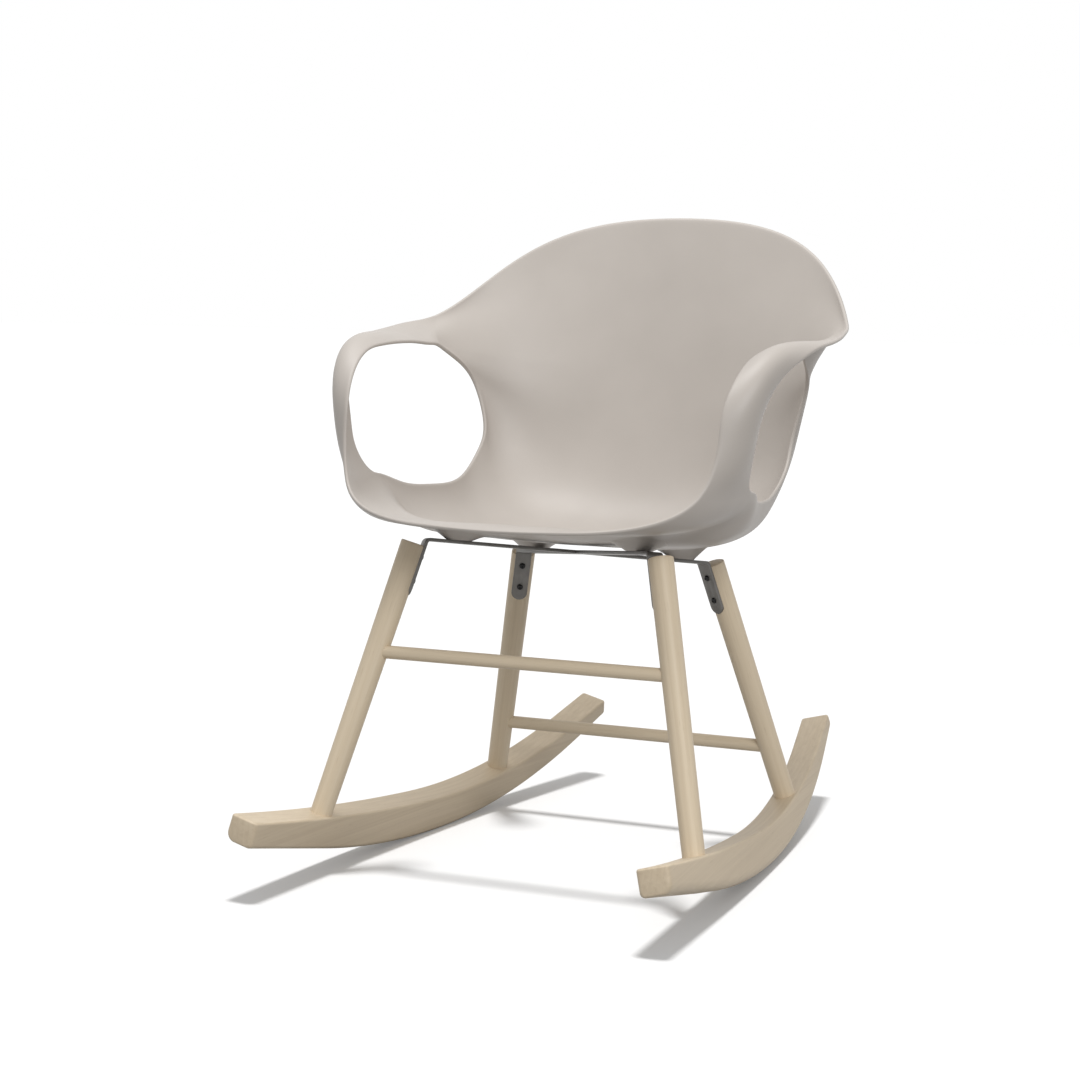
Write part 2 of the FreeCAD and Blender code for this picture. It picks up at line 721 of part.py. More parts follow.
def fold(frame):
    """The fold at one leg: its axis' middle, its direction, and the tab's outward way."""
    outwards = frame.Rotation.multVec(Vector(-1, 0, 0))
    axis = bar_up.cross(outwards).normalize()
    outer_radius = size("bar_bend_radius") + size("bar_thickness")
    start = frame.multVec(Vector(size("tab_offset") + outer_radius, 0, 0))
    up = frame.Rotation.multVec(Vector(0, 0, 1))
    drop = (bar_top - start).dot(bar_up) - outer_radius
    return start + up * (drop / up.dot(bar_up)), axis, outwards


def fold_solid(middle, axis, outwards):
    """The quarter ring between the strip and a tab."""
    start = middle - axis * (size("bar_width") / 2)
    outer = size("bar_bend_radius") + size("bar_thickness")
    inner = size("bar_bend_radius")
    corners = [start + bar_up * inner, start + bar_up * outer]
    between = (bar_up + outwards).normalize()
    outer_arc = Part.Arc(corners[1], start + between * outer, start + outwards * outer).toShape()
    inner_arc = Part.Arc(start + outwards * inner, start + between * inner, corners[0]).toShape()
    side = Part.makeLine(start + outwards * outer, start + outwards * inner)
    profile = Part.Wire([outer_arc, side, inner_arc, Part.makeLine(*corners)])
    return Part.Face(profile).extrude(axis * size("bar_width"))


def tab_solid(frame, middle, axis, outwards):
    """The tab below a fold: straight sides along the leg and a half-round end."""
    up = frame.Rotation.multVec(Vector(0, 0, 1))
    side = up.cross(outwards)
    if side.dot(axis) < 0:
        side = side * -1
    inner = size("bar_bend_radius")
    top = middle + outwards * inner
    half_top = axis * (size("bar_width") / 2)
    radius = size("bar_width") / 2 * axis.dot(side)
    end = frame.multVec(Vector(0, 0, -size("tab_reach") + size("bar_width") / 2))
    end = end + outwards * (top - end).dot(outwards)
    centre_offset = (top - end).dot(side)
    end = end + side * centre_offset
    low_corners = [end - side * radius, end + side * radius]
    arc = Part.Arc(low_corners[1], end - up * radius, low_corners[0]).toShape()
    outline = Part.Wire([Part.makeLine(top + half_top, low_corners[1]), arc,
                         Part.makeLine(low_corners[0], top - half_top),
                         Part.makeLine(top - half_top, top + half_top)])
    return Part.Face(outline).extrude(outwards * size("bar_thickness"))


DRILL_REACH = 10.0


def countersink(place):
    """A cone that lets a seat screw's head sink into the underside of a bar at this place."""
    low = place - bar_up * size("bar_thickness")
    wide = size("seat_screw_head_radius") + size("hole_clearance")
    narrow = size("seat_screw_radius") + size("hole_clearance")
    return Part.makeCone(wide, narrow, size("seat_screw_head_height"), low, bar_up)


def drill(place, way, radius):
    """A round cutter, run through this place both ways."""
    return Part.makeCylinder(radius, 2 * DRILL_REACH, place - way * DRILL_REACH, way)


def flip_frame(frame):
    """The same leg's frame on the other side: x and z mirrored, y reversed to stay right-handed."""
    inwards = flip(frame.Rotation.multVec(Vector(1, 0, 0)))
    up = flip(frame.Rotation.multVec(Vector(0, 0, 1)))
    return Placement(flip(frame.Base), Rotation(inwards, up.cross(inwards), up, "ZXY"))


bar_legs = [front_leg, flip_frame(rear_leg)]
folds = [fold(frame) for frame in bar_legs]
strip_corners = []
for middle, axis, outwards in folds:
    half = axis * (size("bar_width") / 2)
    high = middle + bar_up * (size("bar_bend_radius") + size("bar_thickness"))
    across = half if half.dot(bar_side) > 0 else half * -1
    strip_corners.append([high - across, high + across])
outline = strip_corners[0] + strip_corners[1][::-1]
strip = flat_piece(outline, bar_up * -size("bar_thickness"))
bar_shape = strip
for frame, (middle, axis, outwards) in zip(bar_legs, folds):
    bar_shape = bar_shape.fuse([fold_solid(middle, axis, outwards),
                                tab_solid(frame, middle, axis, outwards)])
bar_shape = bar_shape.removeSplitter()
drills = []
for place in seat_screws[:2]:
    drills.append(drill(place, bar_up, size("seat_screw_radius") + size("hole_clearance")))
    drills.append(countersink(place))
for frame in bar_legs:
    way = frame.Rotation.multVec(Vector(1, 0, 0))
    for turn in range(2):
        down = -size("leg_screw_first") - turn * size("leg_screw_pitch")
        place = frame.multVec(Vector(size("tab_offset"), 0, down))
        drills.append(drill(place, way, size("leg_screw_radius") + size("hole_clearance")))
bar_shape = bar_shape.cut(drills)
other_bar = bar_shape.mirror(Vector(), Vector(1, 0, 0))
half_thickness = size("bar_thickness") / 2
upper_half = flat_piece(outline, bar_up * -half_thickness)
lower_half = upper_half.translated(bar_up * -half_thickness)
for label, shape, notch in (("cross_bar_upper", bar_shape, lower_half),
                            ("cross_bar_lower", other_bar, upper_half)):
    if label == "cross_bar_upper":
        notch = notch.mirror(Vector(), Vector(1, 0, 0))
    bar = node(doc.addObject("Part::Feature", label), label)
    bar.Shape = shape.cut(notch)

# Seat screws and their inserts
seat_inserts = []
seat_bolts = []
upwards = Rotation(Vector(0, 0, 1), bar_up)
for number, place in enumerate(seat_screws, start=1):
    sleeve = add("Part::Cylinder", f"seat_insert_sleeve_{number}", Placement(place, upwards),
                 Radius="Sizes.insert_radius", Height="Sizes.insert_depth")
    bore = add("Part::Cylinder", f"seat_insert_bore_{number}", Placement(place, upwards),
               Radius="Sizes.seat_screw_radius", Height="Sizes.insert_depth")
    seat_inserts.append(cut(f"seat_insert_{number}", sleeve, [bore]))
    head_low = Placement(place - bar_up * size("bar_thickness"), upwards)
    shank = add("Part::Cylinder", f"seat_screw_shank_{number}", head_low,
                Radius="Sizes.seat_screw_radius", Height="Sizes.seat_screw_length")
    head = add("Part::Cone", f"seat_screw_head_{number}", head_low,
               Radius1="Sizes.seat_screw_head_radius", Radius2="Sizes.seat_screw_radius",
               Height="Sizes.seat_screw_head_height")
    key = add("Part::Prism", f"seat_screw_key_{number}", head_low,
              Circumradius="Sizes.seat_screw_key", Height="Sizes.seat_screw_key_depth")
    key.Polygon = 6
    blank = fuse(f"seat_screw_blank_{number}", [shank, head])
    seat_bolts.append(cut(f"seat_screw_{number}", blank, [key]))
node(group("ShellInserts", seat_inserts), "shell_inserts")
node(group("ShellScrews", seat_bolts), "shell_screws")

doc.recompute()
faults = [item.Name for item in doc.Objects if "Invalid" in item.State or "Error" in item.State]
faults += [item.Label for item in nodes if item.Shape.isNull() or not item.Shape.isValid()]
if faults:
    raise RuntimeError("these did not build: " + ", ".join(faults))
for item in nodes:
    item.Shape.exportStep(f"parts/{item.Label}.step")
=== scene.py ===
import math

import bmesh
import bpy
import numpy as np
from mathutils import Matrix, Vector
from mathutils.bvhtree import BVHTree


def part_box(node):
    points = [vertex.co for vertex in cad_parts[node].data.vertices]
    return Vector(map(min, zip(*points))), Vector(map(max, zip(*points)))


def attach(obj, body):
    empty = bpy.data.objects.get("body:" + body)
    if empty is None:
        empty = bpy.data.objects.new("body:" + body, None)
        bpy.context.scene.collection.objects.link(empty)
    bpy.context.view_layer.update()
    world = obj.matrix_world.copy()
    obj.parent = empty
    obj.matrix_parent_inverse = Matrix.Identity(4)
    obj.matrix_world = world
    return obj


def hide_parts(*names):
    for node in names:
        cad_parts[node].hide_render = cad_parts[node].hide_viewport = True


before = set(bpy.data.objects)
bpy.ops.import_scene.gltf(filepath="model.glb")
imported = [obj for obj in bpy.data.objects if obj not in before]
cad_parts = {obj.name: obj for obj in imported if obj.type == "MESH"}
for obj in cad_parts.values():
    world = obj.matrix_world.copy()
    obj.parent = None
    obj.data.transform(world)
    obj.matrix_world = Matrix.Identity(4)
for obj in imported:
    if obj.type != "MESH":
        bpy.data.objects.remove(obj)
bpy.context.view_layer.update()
MM = 0.001

# Viewpoint
# The chair is seen from the front and from the sitter's left, from a little above the seat, through a
# long lens.
camera_data = bpy.data.cameras.new("camera")
camera_data.lens = 83.58
camera_data.sensor_width = 36.0
camera_data.clip_end = 60.0
camera = bpy.data.objects.new("camera", camera_data)
camera.location = (1.2504, -2.7718, 0.7814)
camera.rotation_euler = (math.radians(90 - 7.4043), 0.0, math.radians(25.3528))
bpy.context.scene.collection.objects.link(camera)
bpy.context.scene.camera = camera


# Seat shell
# One moulding in warm light grey plastic: bucket seat, back and two looped arms, with a wall of 5 mm
# and rounded edges. It is shaped by cross sections from the front lip, over the seat, up the back.
# Each half section is a smooth curve: centre (y, z), how far it stays level, two handles, edge.
SHELL_WALL = 5.0
SHELL_SECTIONS = [
    ("lip", 0.00, (-262, 426), 105, (172, -243.5, 430), (209, -213, 442), (224.6, -194, 468.5)),
    ("front", 0.07, (-240, 430), 112, (186, -193, 413), (229, -141, 426), (238, -146, 463)),
    ("foot", 0.14, (-195, 423), 112, (190, -131, 405), (238, -66, 431), (245.5, -92, 466)),
    ("sill_front", 0.25, (-130, 408), 112, (192, -93, 388), (238, -52, 405), (234, -40, 449.5)),
    ("sill_middle", 0.36, (-60, 393), 112, (184, -22, 380), (221, 9, 401), (222, 20, 442)),
    ("sill_rear", 0.46, (10, 380), 110, (171, 46, 371), (206, 76, 399), (213, 80, 446)),
    ("hip", 0.54, (80, 373), 105, (161, 105, 375), (200, 120, 418), (213, 126, 474)),
    ("rear", 0.61, (141, 380), 98, (168, 156, 400), (213, 158, 454), (211, 146, 504)),
    ("lumbar", 0.68, (190, 416), 94, (168, 197, 454), (217, 179, 512), (221, 151, 544)),
    ("middle", 0.75, (221, 486), 90, (173, 212, 522), (229, 177, 565), (234, 137, 583)),
    ("wing_low", 0.83, (247, 576), 90, (210, 219, 588), (266, 152, 603), (246, 87, 613.6)),
    ("wing_high", 0.915, (272, 677), 105, (212, 247, 666), (274, 180, 636), (268, 113, 630)),
    ("ear", 1.00, (297, 775), 150, (220, 262, 744), (252, 212, 671), (282.5, 140, 648)),
]
FRONT_JOIN = 0.14
REAR_JOIN = 0.83
ARM_INNER_EDGE = [
    (224.6, -194, 468.5), (232, -184.4, 485), (238.5, -173.5, 516), (240, -166, 553),
    (244, -147, 587), (249, -108, 614.5), (251, -60, 622), (252, -10, 623), (250.5, 45, 620),
    (246, 87, 613.6),
]
ARM_OUTER_EDGE = [
    (245.5, -92, 466), (254, -116, 490), (261, -120, 523), (268, -115, 559), (281, -99, 594),
    (295, -70, 615), (303.5, -28, 628), (306, 12, 632), (301.5, 70, 638.5), (282.5, 140, 648),
]
# How far the middle of an arm arches past its edges, at its front and at its rear root.
ARM_FRONT_CROWN = 32.0
ARM_REAR_CROWN = -5.0
RIM_BULGE = 2.6
# Lines of the grid, from the middle of the seat to its edge, and from edge to edge of an arm.
ACROSS_PLACES = [0.0, 0.1, 0.2, 0.3, 0.4, 0.5, 0.6, 0.7, 0.79, 0.87, 0.94, 0.988, 1.0]
WIDTH_PLACES = [0.0, 0.035, 0.25, 0.5, 0.75, 0.965, 1.0]
SILL_STEPS = 24
ARM_STEPS = 26
ARM_KNOTS = 12
SLOPE_STEP = 0.002
EDGE_STEP = 0.01


def smooth_line(points, stations, leave=None, arrive=None):
    """A smooth curve as a function of the station. It passes each point at its own station."""
    points = np.array(points, float)
    stations = np.array(stations, float)
    gaps = np.diff(stations)
    count = len(stations)
    weights = np.zeros((count, count))
    wanted = np.zeros_like(points)
    weights[0, 0] = weights[-1, -1] = 1.0
    # Where no slopes are given, each end follows the cubic through its four nearest points.
    if leave is None:
        leave = np.polyfit(stations[:4] - stations[0], points[:4], 3)[-2]
        arrive = np.polyfit(stations[-4:] - stations[-1], points[-4:], 3)[-2]
    wanted[0], wanted[-1] = leave, arrive
    steps = np.diff(points, axis=0) / gaps[:, None] ** 2
    for knot in range(1, count - 1):
        weights[knot, knot - 1] = 1 / gaps[knot - 1]
        weights[knot, knot] = 2 / gaps[knot - 1] + 2 / gaps[knot]
        weights[knot, knot + 1] = 1 / gaps[knot]
        wanted[knot] = 3 * (steps[knot - 1] + steps[knot])
    slopes = np.linalg.solve(weights, wanted)

    def at(station):
        span = int(np.clip(np.searchsorted(stations, station) - 1, 0, count - 2))
        gap = gaps[span]
        t = (station - stations[span]) / gap
        return ((2 * t ** 3 - 3 * t ** 2 + 1) * points[span]
                + (t ** 3 - 2 * t ** 2 + t) * gap * slopes[span]
                + (3 * t ** 2 - 2 * t ** 3) * points[span + 1]
                + (t ** 3 - t ** 2) * gap * slopes[span + 1])

    return at


def unit(vector):
    return vector / np.linalg.norm(vector)


section_places = [section[1] for section in SHELL_SECTIONS]
section_handles = [[(0, *centre), (level, *centre), low, high, edge]
                   for _, _, centre, level, low, high, edge in SHELL_SECTIONS]
handle_lines = [smooth_line(handles, section_places) for handles in zip(*section_handles)]


def bucket_middle(across, along):
    """Middle of the wall: across runs -1 to 1 between the edges, along 0 to 1 from lip to top."""
    reach = abs(across)
    point = np.zeros(3)
    for order, line in enumerate(handle_lines):
        point += math.comb(4, order) * (1 - reach) ** (4 - order) * reach ** order * line(along)
    if across < 0:
        point[0] = -point[0]
    return point


def bucket_normal(across, along):
    """Direction square to the bucket's wall."""
    sideways = bucket_middle(across + SLOPE_STEP, along) - bucket_middle(across - SLOPE_STEP, along)
    backwards = (bucket_middle(across, min(along + SLOPE_STEP, 1))
                 - bucket_middle(across, max(along - SLOPE_STEP, 0)))
    return unit(np.cross(sideways, backwards))


def shares_along(points):
    """How far along the line through all the points each of them lies, from 0 to 1."""
    travelled = np.concatenate([[0], np.cumsum(np.linalg.norm(np.diff(points, axis=0), axis=1))])
    return travelled / travelled[-1]


edge_places = (shares_along(ARM_INNER_EDGE) + shares_along(ARM_OUTER_EDGE)) / 2
arm_inner_line = smooth_line(ARM_INNER_EDGE, edge_places)
arm_outer_line = smooth_line(ARM_OUTER_EDGE, edge_places)


def arm_middle(width, along):
    """Middle of the left arm's wall: width 0 to 1 from its inner edge, along 0 to 1 from the front."""
    inner, outer = arm_inner_line(along), arm_outer_line(along)
    run = sum(unit(edge(along + SLOPE_STEP) - edge(along - SLOPE_STEP))
              for edge in (arm_inner_line, arm_outer_line))
    crown = ARM_FRONT_CROWN + (ARM_REAR_CROWN - ARM_FRONT_CROWN) * along
    arch = 4 * width * (1 - width) * crown * math.sin(math.pi * along)
    return inner + (outer - inner) * width + unit(np.cross(outer - inner, run)) * arch


def blend_ways(one, other, share):
    """A direction between two others."""
    return unit(unit(one) * (1 - share) + unit(other) * share)


def arm_line(width):
    """One line along the left arm, which leaves and meets the bucket without a crease."""
    places = np.linspace(0, 1, ARM_KNOTS + 1)
    front, rear = FRONT_JOIN * width, REAR_JOIN + (1 - REAR_JOIN) * width
    points = [arm_middle(width, place) for place in places]
    points[0], points[-1] = bucket_middle(1, front), bucket_middle(1, rear)
    # Beside the opening the arm's edge runs on along the sill, and away from it across the bucket.
    leave = blend_ways(points[0] - bucket_middle(1 - EDGE_STEP, front),
                       points[0] - bucket_middle(1, front + EDGE_STEP), width ** 3)
    arrive = blend_ways(bucket_middle(1 - EDGE_STEP, rear) - points[-1],
                        bucket_middle(1, rear - EDGE_STEP) - points[-1], (1 - width) ** 3)
    leave *= np.linalg.norm(points[1] - points[0])
    arrive *= np.linalg.norm(points[-1] - points[-2])
    return smooth_line(points, places, leave * ARM_KNOTS, arrive * ARM_KNOTS)


class Moulding:
    """The two faces of the wall, laid out point by point, and the quads between them."""

    def __init__(self):
        self.places = []
        self.quads = []
        self.ridges = {}

    def pair(self, middle, normal):
        """Adds the two points of the wall at one place, and returns their numbers."""
        for way in (1, -1):
            self.places.append(middle + normal * way * SHELL_WALL / 2)
        return len(self.places) - 2, len(self.places) - 1

    def rim(self, edge, inside):
        """Closes the wall along an edge: two lists of point pairs, on the edge and just inside it."""
        ridge = []
        for (one, other), (one_in, other_in) in zip(edge, inside):
            key = (one, other)
            if key not in self.ridges:
                middle = (self.places[one] + self.places[other]) / 2
                middle_in = (self.places[one_in] + self.places[other_in]) / 2
                self.places.append(middle + unit(middle - middle_in) * RIM_BULGE)
                self.ridges[key] = self.ridges[(other, one)] = len(self.places) - 1
            ridge.append(self.ridges[key])
        for place in range(len(edge) - 1):
            (one, other), (one_next, other_next) = edge[place], edge[place + 1]
            self.quads.append((one, one_next, ridge[place + 1], ridge[place]))
            self.quads.append((ridge[place], ridge[place + 1], other_next, other))

    def wall(self, rows):
        """Both faces of the wall over a grid of point pairs, and a rim along two of its sides."""
        for face in (0, 1):
            for row, after in zip(rows, rows[1:]):
                for here, ahead in zip(zip(row, after), zip(row[1:], after[1:])):
                    self.quads.append((here[0][face], ahead[0][face], ahead[1][face], here[1][face]))
        for side, inside in ((0, 1), (-1, -2)):
            self.rim([row[side] for row in rows], [row[inside] for row in rows])


def build_shell():
    """The bucket from its lip to its top corners, and the two arms that grow out of its edges."""
    moulding = Moulding()
    # The bucket is one grid. Its edge is closed in front, on top, and between the roots of each arm.
    across = [-place for place in ACROSS_PLACES[:0:-1]] + ACROSS_PLACES
    front = [FRONT_JOIN * place for place in WIDTH_PLACES]
    sill = [FRONT_JOIN + (REAR_JOIN - FRONT_JOIN) * step / SILL_STEPS for step in range(SILL_STEPS + 1)]
    rear = [REAR_JOIN + (1 - REAR_JOIN) * place for place in WIDTH_PLACES]
    along = front + sill[1:] + rear[1:]
    bucket = [[moulding.pair(bucket_middle(side, back), bucket_normal(side, back)) for back in along]
              for side in across]
    moulding.wall(bucket)
    first_sill, last_sill = len(front) - 1, len(front) + len(sill) - 2
    # The left arm is a strap between its two roots, and the right arm is its mirror image.
    arm_lines = [arm_line(width) for width in WIDTH_PLACES]
    strap_places = np.linspace(0, 1, ARM_STEPS + 1)
    strap_middles = np.array([[line(place) for line in arm_lines] for place in strap_places])
    runs = np.gradient(strap_middles, strap_places, axis=0)
    outwards = np.gradient(strap_middles, np.array(WIDTH_PLACES), axis=1, edge_order=2)
    strap_normals = np.cross(runs, outwards)
    strap_normals /= np.linalg.norm(strap_normals, axis=2, keepdims=True)
    for edge, inside, side in ((bucket[-1], bucket[-2], 1), (bucket[0], bucket[1], -1)):
        moulding.rim(edge[first_sill:last_sill + 1], inside[first_sill:last_sill + 1])
        flip = np.array([side, 1, 1])
        strap = [edge[:len(front)]]
        for row in range(1, ARM_STEPS):
            middles, normals = strap_middles[row] * flip, strap_normals[row] * flip
            strap.append([moulding.pair(middle, normal) for middle, normal in zip(middles, normals)])
        strap.append([pair[::-1] for pair in edge[last_sill:]])
        moulding.wall(strap)
    return moulding


def new_piece(name, mesh):
    piece = bpy.data.objects.new(name, mesh)
    bpy.context.scene.collection.objects.link(piece)
    return piece


def face_outwards(mesh):
    """Merges doubled points and turns every face outwards."""
    work = bmesh.new()
    work.from_mesh(mesh)
    bmesh.ops.remove_doubles(work, verts=work.verts, dist=1e-6)
    bmesh.ops.recalc_face_normals(work, faces=work.faces)
    work.to_mesh(mesh)
    work.free()


def mesh_of(name, places, faces):
    """A mesh from points in millimetres and faces, with its faces turned outwards."""
    mesh = bpy.data.meshes.new(name)
    mesh.from_pydata([tuple(Vector(place) * MM) for place in places], [], faces)
    face_outwards(mesh)
    mesh.validate()
    return mesh


def settle(piece):
    """Turns a piece and its modifiers into a plain mesh."""
    graph = bpy.context.evaluated_depsgraph_get()
    mesh = bpy.data.meshes.new_from_object(piece.evaluated_get(graph))
    piece.modifiers.clear()
    piece.data = mesh


moulding = build_shell()
shell = new_piece("moulded_shell", mesh_of("moulded_shell", moulding.places, moulding.quads))
rounding = shell.modifiers.new("rounding", "SUBSURF")
rounding.levels = rounding.render_levels = 2
settle(shell)
shell.data.shade_smooth()

# Bosses under the seat
# Four short flared posts, moulded in one with the shell, take the brass inserts of the seat screws.
# They stand on the plane of the crossed bars, which falls towards the back.
BAR_SLOPE = math.radians(10.3)
bar_up = Vector((0, math.sin(BAR_SLOPE), math.cos(BAR_SLOPE)))
BOSS_FOOT_RADIUS = 15.0
BOSS_FLARE = 30.0
BOSS_SINK = 1.8
INSERT_RADIUS = 4.0
INSERT_DEPTH = 8.0
HOLE_PAST_INSERT = 0.5
BOSS_SIDES = 72
BOSS_STEPS = 14
BELOW_BOSS = 0.02

graph = bpy.context.evaluated_depsgraph_get()
shell_tree = BVHTree.FromObject(shell, graph)


def seat_insert_places():
    """Middle of the foot of each insert, read from the frame: one pair in front and one behind."""
    low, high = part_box("shell_inserts")
    middle_y = (low.y + high.y) / 2
    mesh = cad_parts["shell_inserts"].data
    points = np.array([vertex.co for vertex in mesh.vertices])
    places = []
    for left in (1, -1):
        for rear in (1, -1):
            own = points[(points[:, 0] * left > 0) & ((points[:, 1] - middle_y) * rear > 0)]
            centre = Vector((own.min(0) + own.max(0)) / 2)
            places.append(centre - bar_up * INSERT_DEPTH * MM / 2)
    return places


def boss(place):
    """Points and faces of one boss: blind hole, flat foot, and a side that flares into the shell."""
    along = Vector((1, 0, 0))
    aside = bar_up.cross(along)
    points, faces = [], []
    for turn in range(BOSS_SIDES):
        angle = math.tau * turn / BOSS_SIDES
        way = along * math.cos(angle) + aside * math.sin(angle)
        points += [place / MM + way * INSERT_RADIUS + bar_up * (INSERT_DEPTH + HOLE_PAST_INSERT),
                   place / MM + way * INSERT_RADIUS]
        for step in range(BOSS_STEPS + 1):
            share = step / BOSS_STEPS
            spot = place + way * (BOSS_FOOT_RADIUS + BOSS_FLARE * share) * MM
            hit = shell_tree.ray_cast(spot - bar_up * BELOW_BOSS, bar_up)[0]
            height = (hit - spot).dot(bar_up) / MM if hit else 0.0
            rise = height * (1 - (1 - share) ** 2) + BOSS_SINK * share
            points.append(spot / MM + bar_up * rise)
    per_ring = BOSS_STEPS + 3
    for turn in range(BOSS_SIDES):
        here, after = turn * per_ring, (turn + 1) % BOSS_SIDES * per_ring
        for step in range(per_ring - 1):
            faces.append((here + step, after + step, after + step + 1, here + step + 1))
    faces.append([turn * per_ring for turn in range(BOSS_SIDES)])
    faces.append([turn * per_ring + per_ring - 1 for turn in range(BOSS_SIDES)])
    return points, faces


def add_mesh(base, addition):
    """Joins another mesh to a base mesh."""
    work = bmesh.new()
    work.from_mesh(base)
    work.from_mesh(addition)
    work.to_mesh(base)
    work.free()
    bpy.data.meshes.remove(addition)


def shade(mesh, crisp_from):
    """Smooth shading, in which an edge that turns by more than this many degrees stays crisp."""
    mesh.shade_smooth()
    mesh.set_sharp_from_angle(angle=math.radians(crisp_from))


boss_places = seat_insert_places()
for number, place in enumerate(boss_places):
    boss_mesh = mesh_of(f"boss_{number}", *boss(place))
    shade(boss_mesh, 40)
    add_mesh(shell.data, boss_mesh)


def feed(tree, made, inputs):
    """Sets a node's inputs. A plain value is written, and another node's output is linked."""
    for name, value in inputs.items():
        if isinstance(value, bpy.types.NodeSocket):
            tree.links.new(value, made.inputs[name])
        else:
            made.inputs[name].default_value = value


def node(tree, kind, inputs=None, **settings):
    """Adds a node to a tree, with these settings and inputs."""
    made = tree.nodes.new(kind)
    for name, value in settings.items():
        setattr(made, name, value)
    feed(tree, made, inputs or {})
    return made


def new_material(name):
    """A material, its tree and shader, and the place on the piece, which its patterns read."""
    material = bpy.data.materials.new(name)
    material.use_nodes = True
    tree = material.node_tree
    tree.nodes.clear()
    shader = node(tree, "ShaderNodeBsdfPrincipled")
    node(tree, "ShaderNodeOutputMaterial", {"Surface": shader.outputs["BSDF"]})
    return material, tree, shader, node(tree, "ShaderNodeTexCoord").outputs["Object"]


def noise(tree, where, scale, detail, **others):
    """Cloudy noise from 0 to 1, finer at a larger scale."""
    inputs = {"Vector": where, "Scale": scale, "Detail": detail, **others}
    return node(tree, "ShaderNodeTexNoise", inputs).outputs["Fac"]


def between(tree, value, low, high):
    """Spreads a value from 0 to 1 over this range."""
    made = node(tree, "ShaderNodeMapRange", {"Value": value, "To Min": low, "To Max": high})
    return made.outputs["Result"]


def raised(tree, height, strength, depth):
    """The fine relief that a height gives the surface, at most this deep in metres."""
    made = node(tree, "ShaderNodeBump", {"Height": height, "Strength": strength, "Distance": depth})
    return made.outputs["Normal"]


def linear(colour):
    """A colour as seen on a screen, 0 to 255, turned into what the shaders take."""
    shares = [channel / 255 for channel in colour]
    return (*(share / 12.92 if share <= 0.04045 else ((share + 0.055) / 1.055) ** 2.4
              for share in shares), 1.0)


def colour_steps(tree, factor, steps):
    """A colour ramp with a stop for each place and colour, as seen on a screen."""
    ramp = node(tree, "ShaderNodeValToRGB", {"Fac": factor})
    stops = ramp.color_ramp.elements
    while len(stops) < len(steps):
        stops.new(0.5)
    for stop, (place, colour) in zip(stops, steps):
        stop.position = place
        stop.color = linear(colour)
    return ramp.outputs["Color"]


def shell_plastic():
    """Moulded plastic: nearly even colour, satin, with the fine texture of the mould."""
    material, tree, shader, where = new_material("shell_plastic")
    cloud = noise(tree, where, 9.0, 3.0)
    grain = noise(tree, where, 1400.0, 2.0)
    dapple = noise(tree, where, 45.0, 4.0)
    feed(tree, shader, {
        "Base Color": colour_steps(tree, cloud, [(0.3, (178, 171, 164)), (0.7, (184, 177, 170))]),
        "Roughness": between(tree, dapple, 0.42, 0.52),
        "Normal": raised(tree, grain, 0.12, 0.0004),
        "IOR": 1.48,
    })
    return material


def coat(mesh, material):
    """Gives the whole mesh one material."""
    mesh.materials.clear()
    mesh.materials.append(material)
    for polygon in mesh.polygons:
        polygon.material_index = 0


coat(shell.data, shell_plastic())
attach(shell, "root")
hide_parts("seat_shell")

# Rockers
# Two curved runners of pale beech. Each lies in the plane of its two legs: it toes in towards the
# front and leans out at the top. Its lower edges are well rounded and its ends are cut square.
ROCKER_ORIGIN = Vector((232.5, 0, -1.25))
ROCKER_TOE_IN = math.radians(6.28)
ROCKER_LEAN = math.radians(13.42)
ROCKER_WIDTH = 37.5
# The top edge from the front tip on: where it starts, its heading there, and each run's length and turn.
ROCKER_TIP = (-389.5, 101.8)
ROCKER_TOP_START = math.radians(-10.8)
ROCKER_TOP_RUNS = [(371, math.radians(6.2)), (351, math.radians(22.5)), (74, 0.0)]
ROCKER_LOW = (23, 4.5)
ROCKER_FRONT_RADIUS = 1145.0
ROCKER_FRONT_TURN = math.radians(13)
ROCKER_REAR_RADIUS = 820.0
ROCKER_REAR_TURN = math.radians(23)
ROCKER_ROUNDS = {"high": 3.0, "low_outer": 12.0, "low_inner": 6.0}
ROCKER_END_ROUND = 5.0
ROCKER_END_DROP = 0.5
ROCKER_STATIONS = 96
ROCKER_END_STEPS = 6
ROCKER_ROUND_STEPS = 8
ROCKER_LEAST_ROUND = 0.4
FIRST_DEPTH = 40.0
DEPTH_ROUNDS = 30

level_out = Vector((math.cos(ROCKER_TOE_IN), math.sin(ROCKER_TOE_IN), 0))
rocker_along = Vector((-math.sin(ROCKER_TOE_IN), math.cos(ROCKER_TOE_IN), 0))
rocker_high = Vector((0, 0, 1)) * math.cos(ROCKER_LEAN) - level_out * math.sin(ROCKER_LEAN)
rocker_out = rocker_along.cross(rocker_high)


def rocker_point(along, out, high):
    return ROCKER_ORIGIN + rocker_along * along + rocker_out * out + rocker_high * high


def rocker_top(travel):
    """Place and heading on the runner's top, this far from its front tip."""
    place = Vector(ROCKER_TIP)
    heading = ROCKER_TOP_START
    for length, turn in ROCKER_TOP_RUNS:
        run = min(travel, length)
        share = run / length
        bend = heading + turn * share / 2
        chord = run if turn == 0 else 2 * length / turn * math.sin(turn * share / 2)
        place = place + Vector((math.cos(bend), math.sin(bend))) * chord
        heading += turn * share
        travel -= run
        if travel <= 0:
            break
    return place, heading


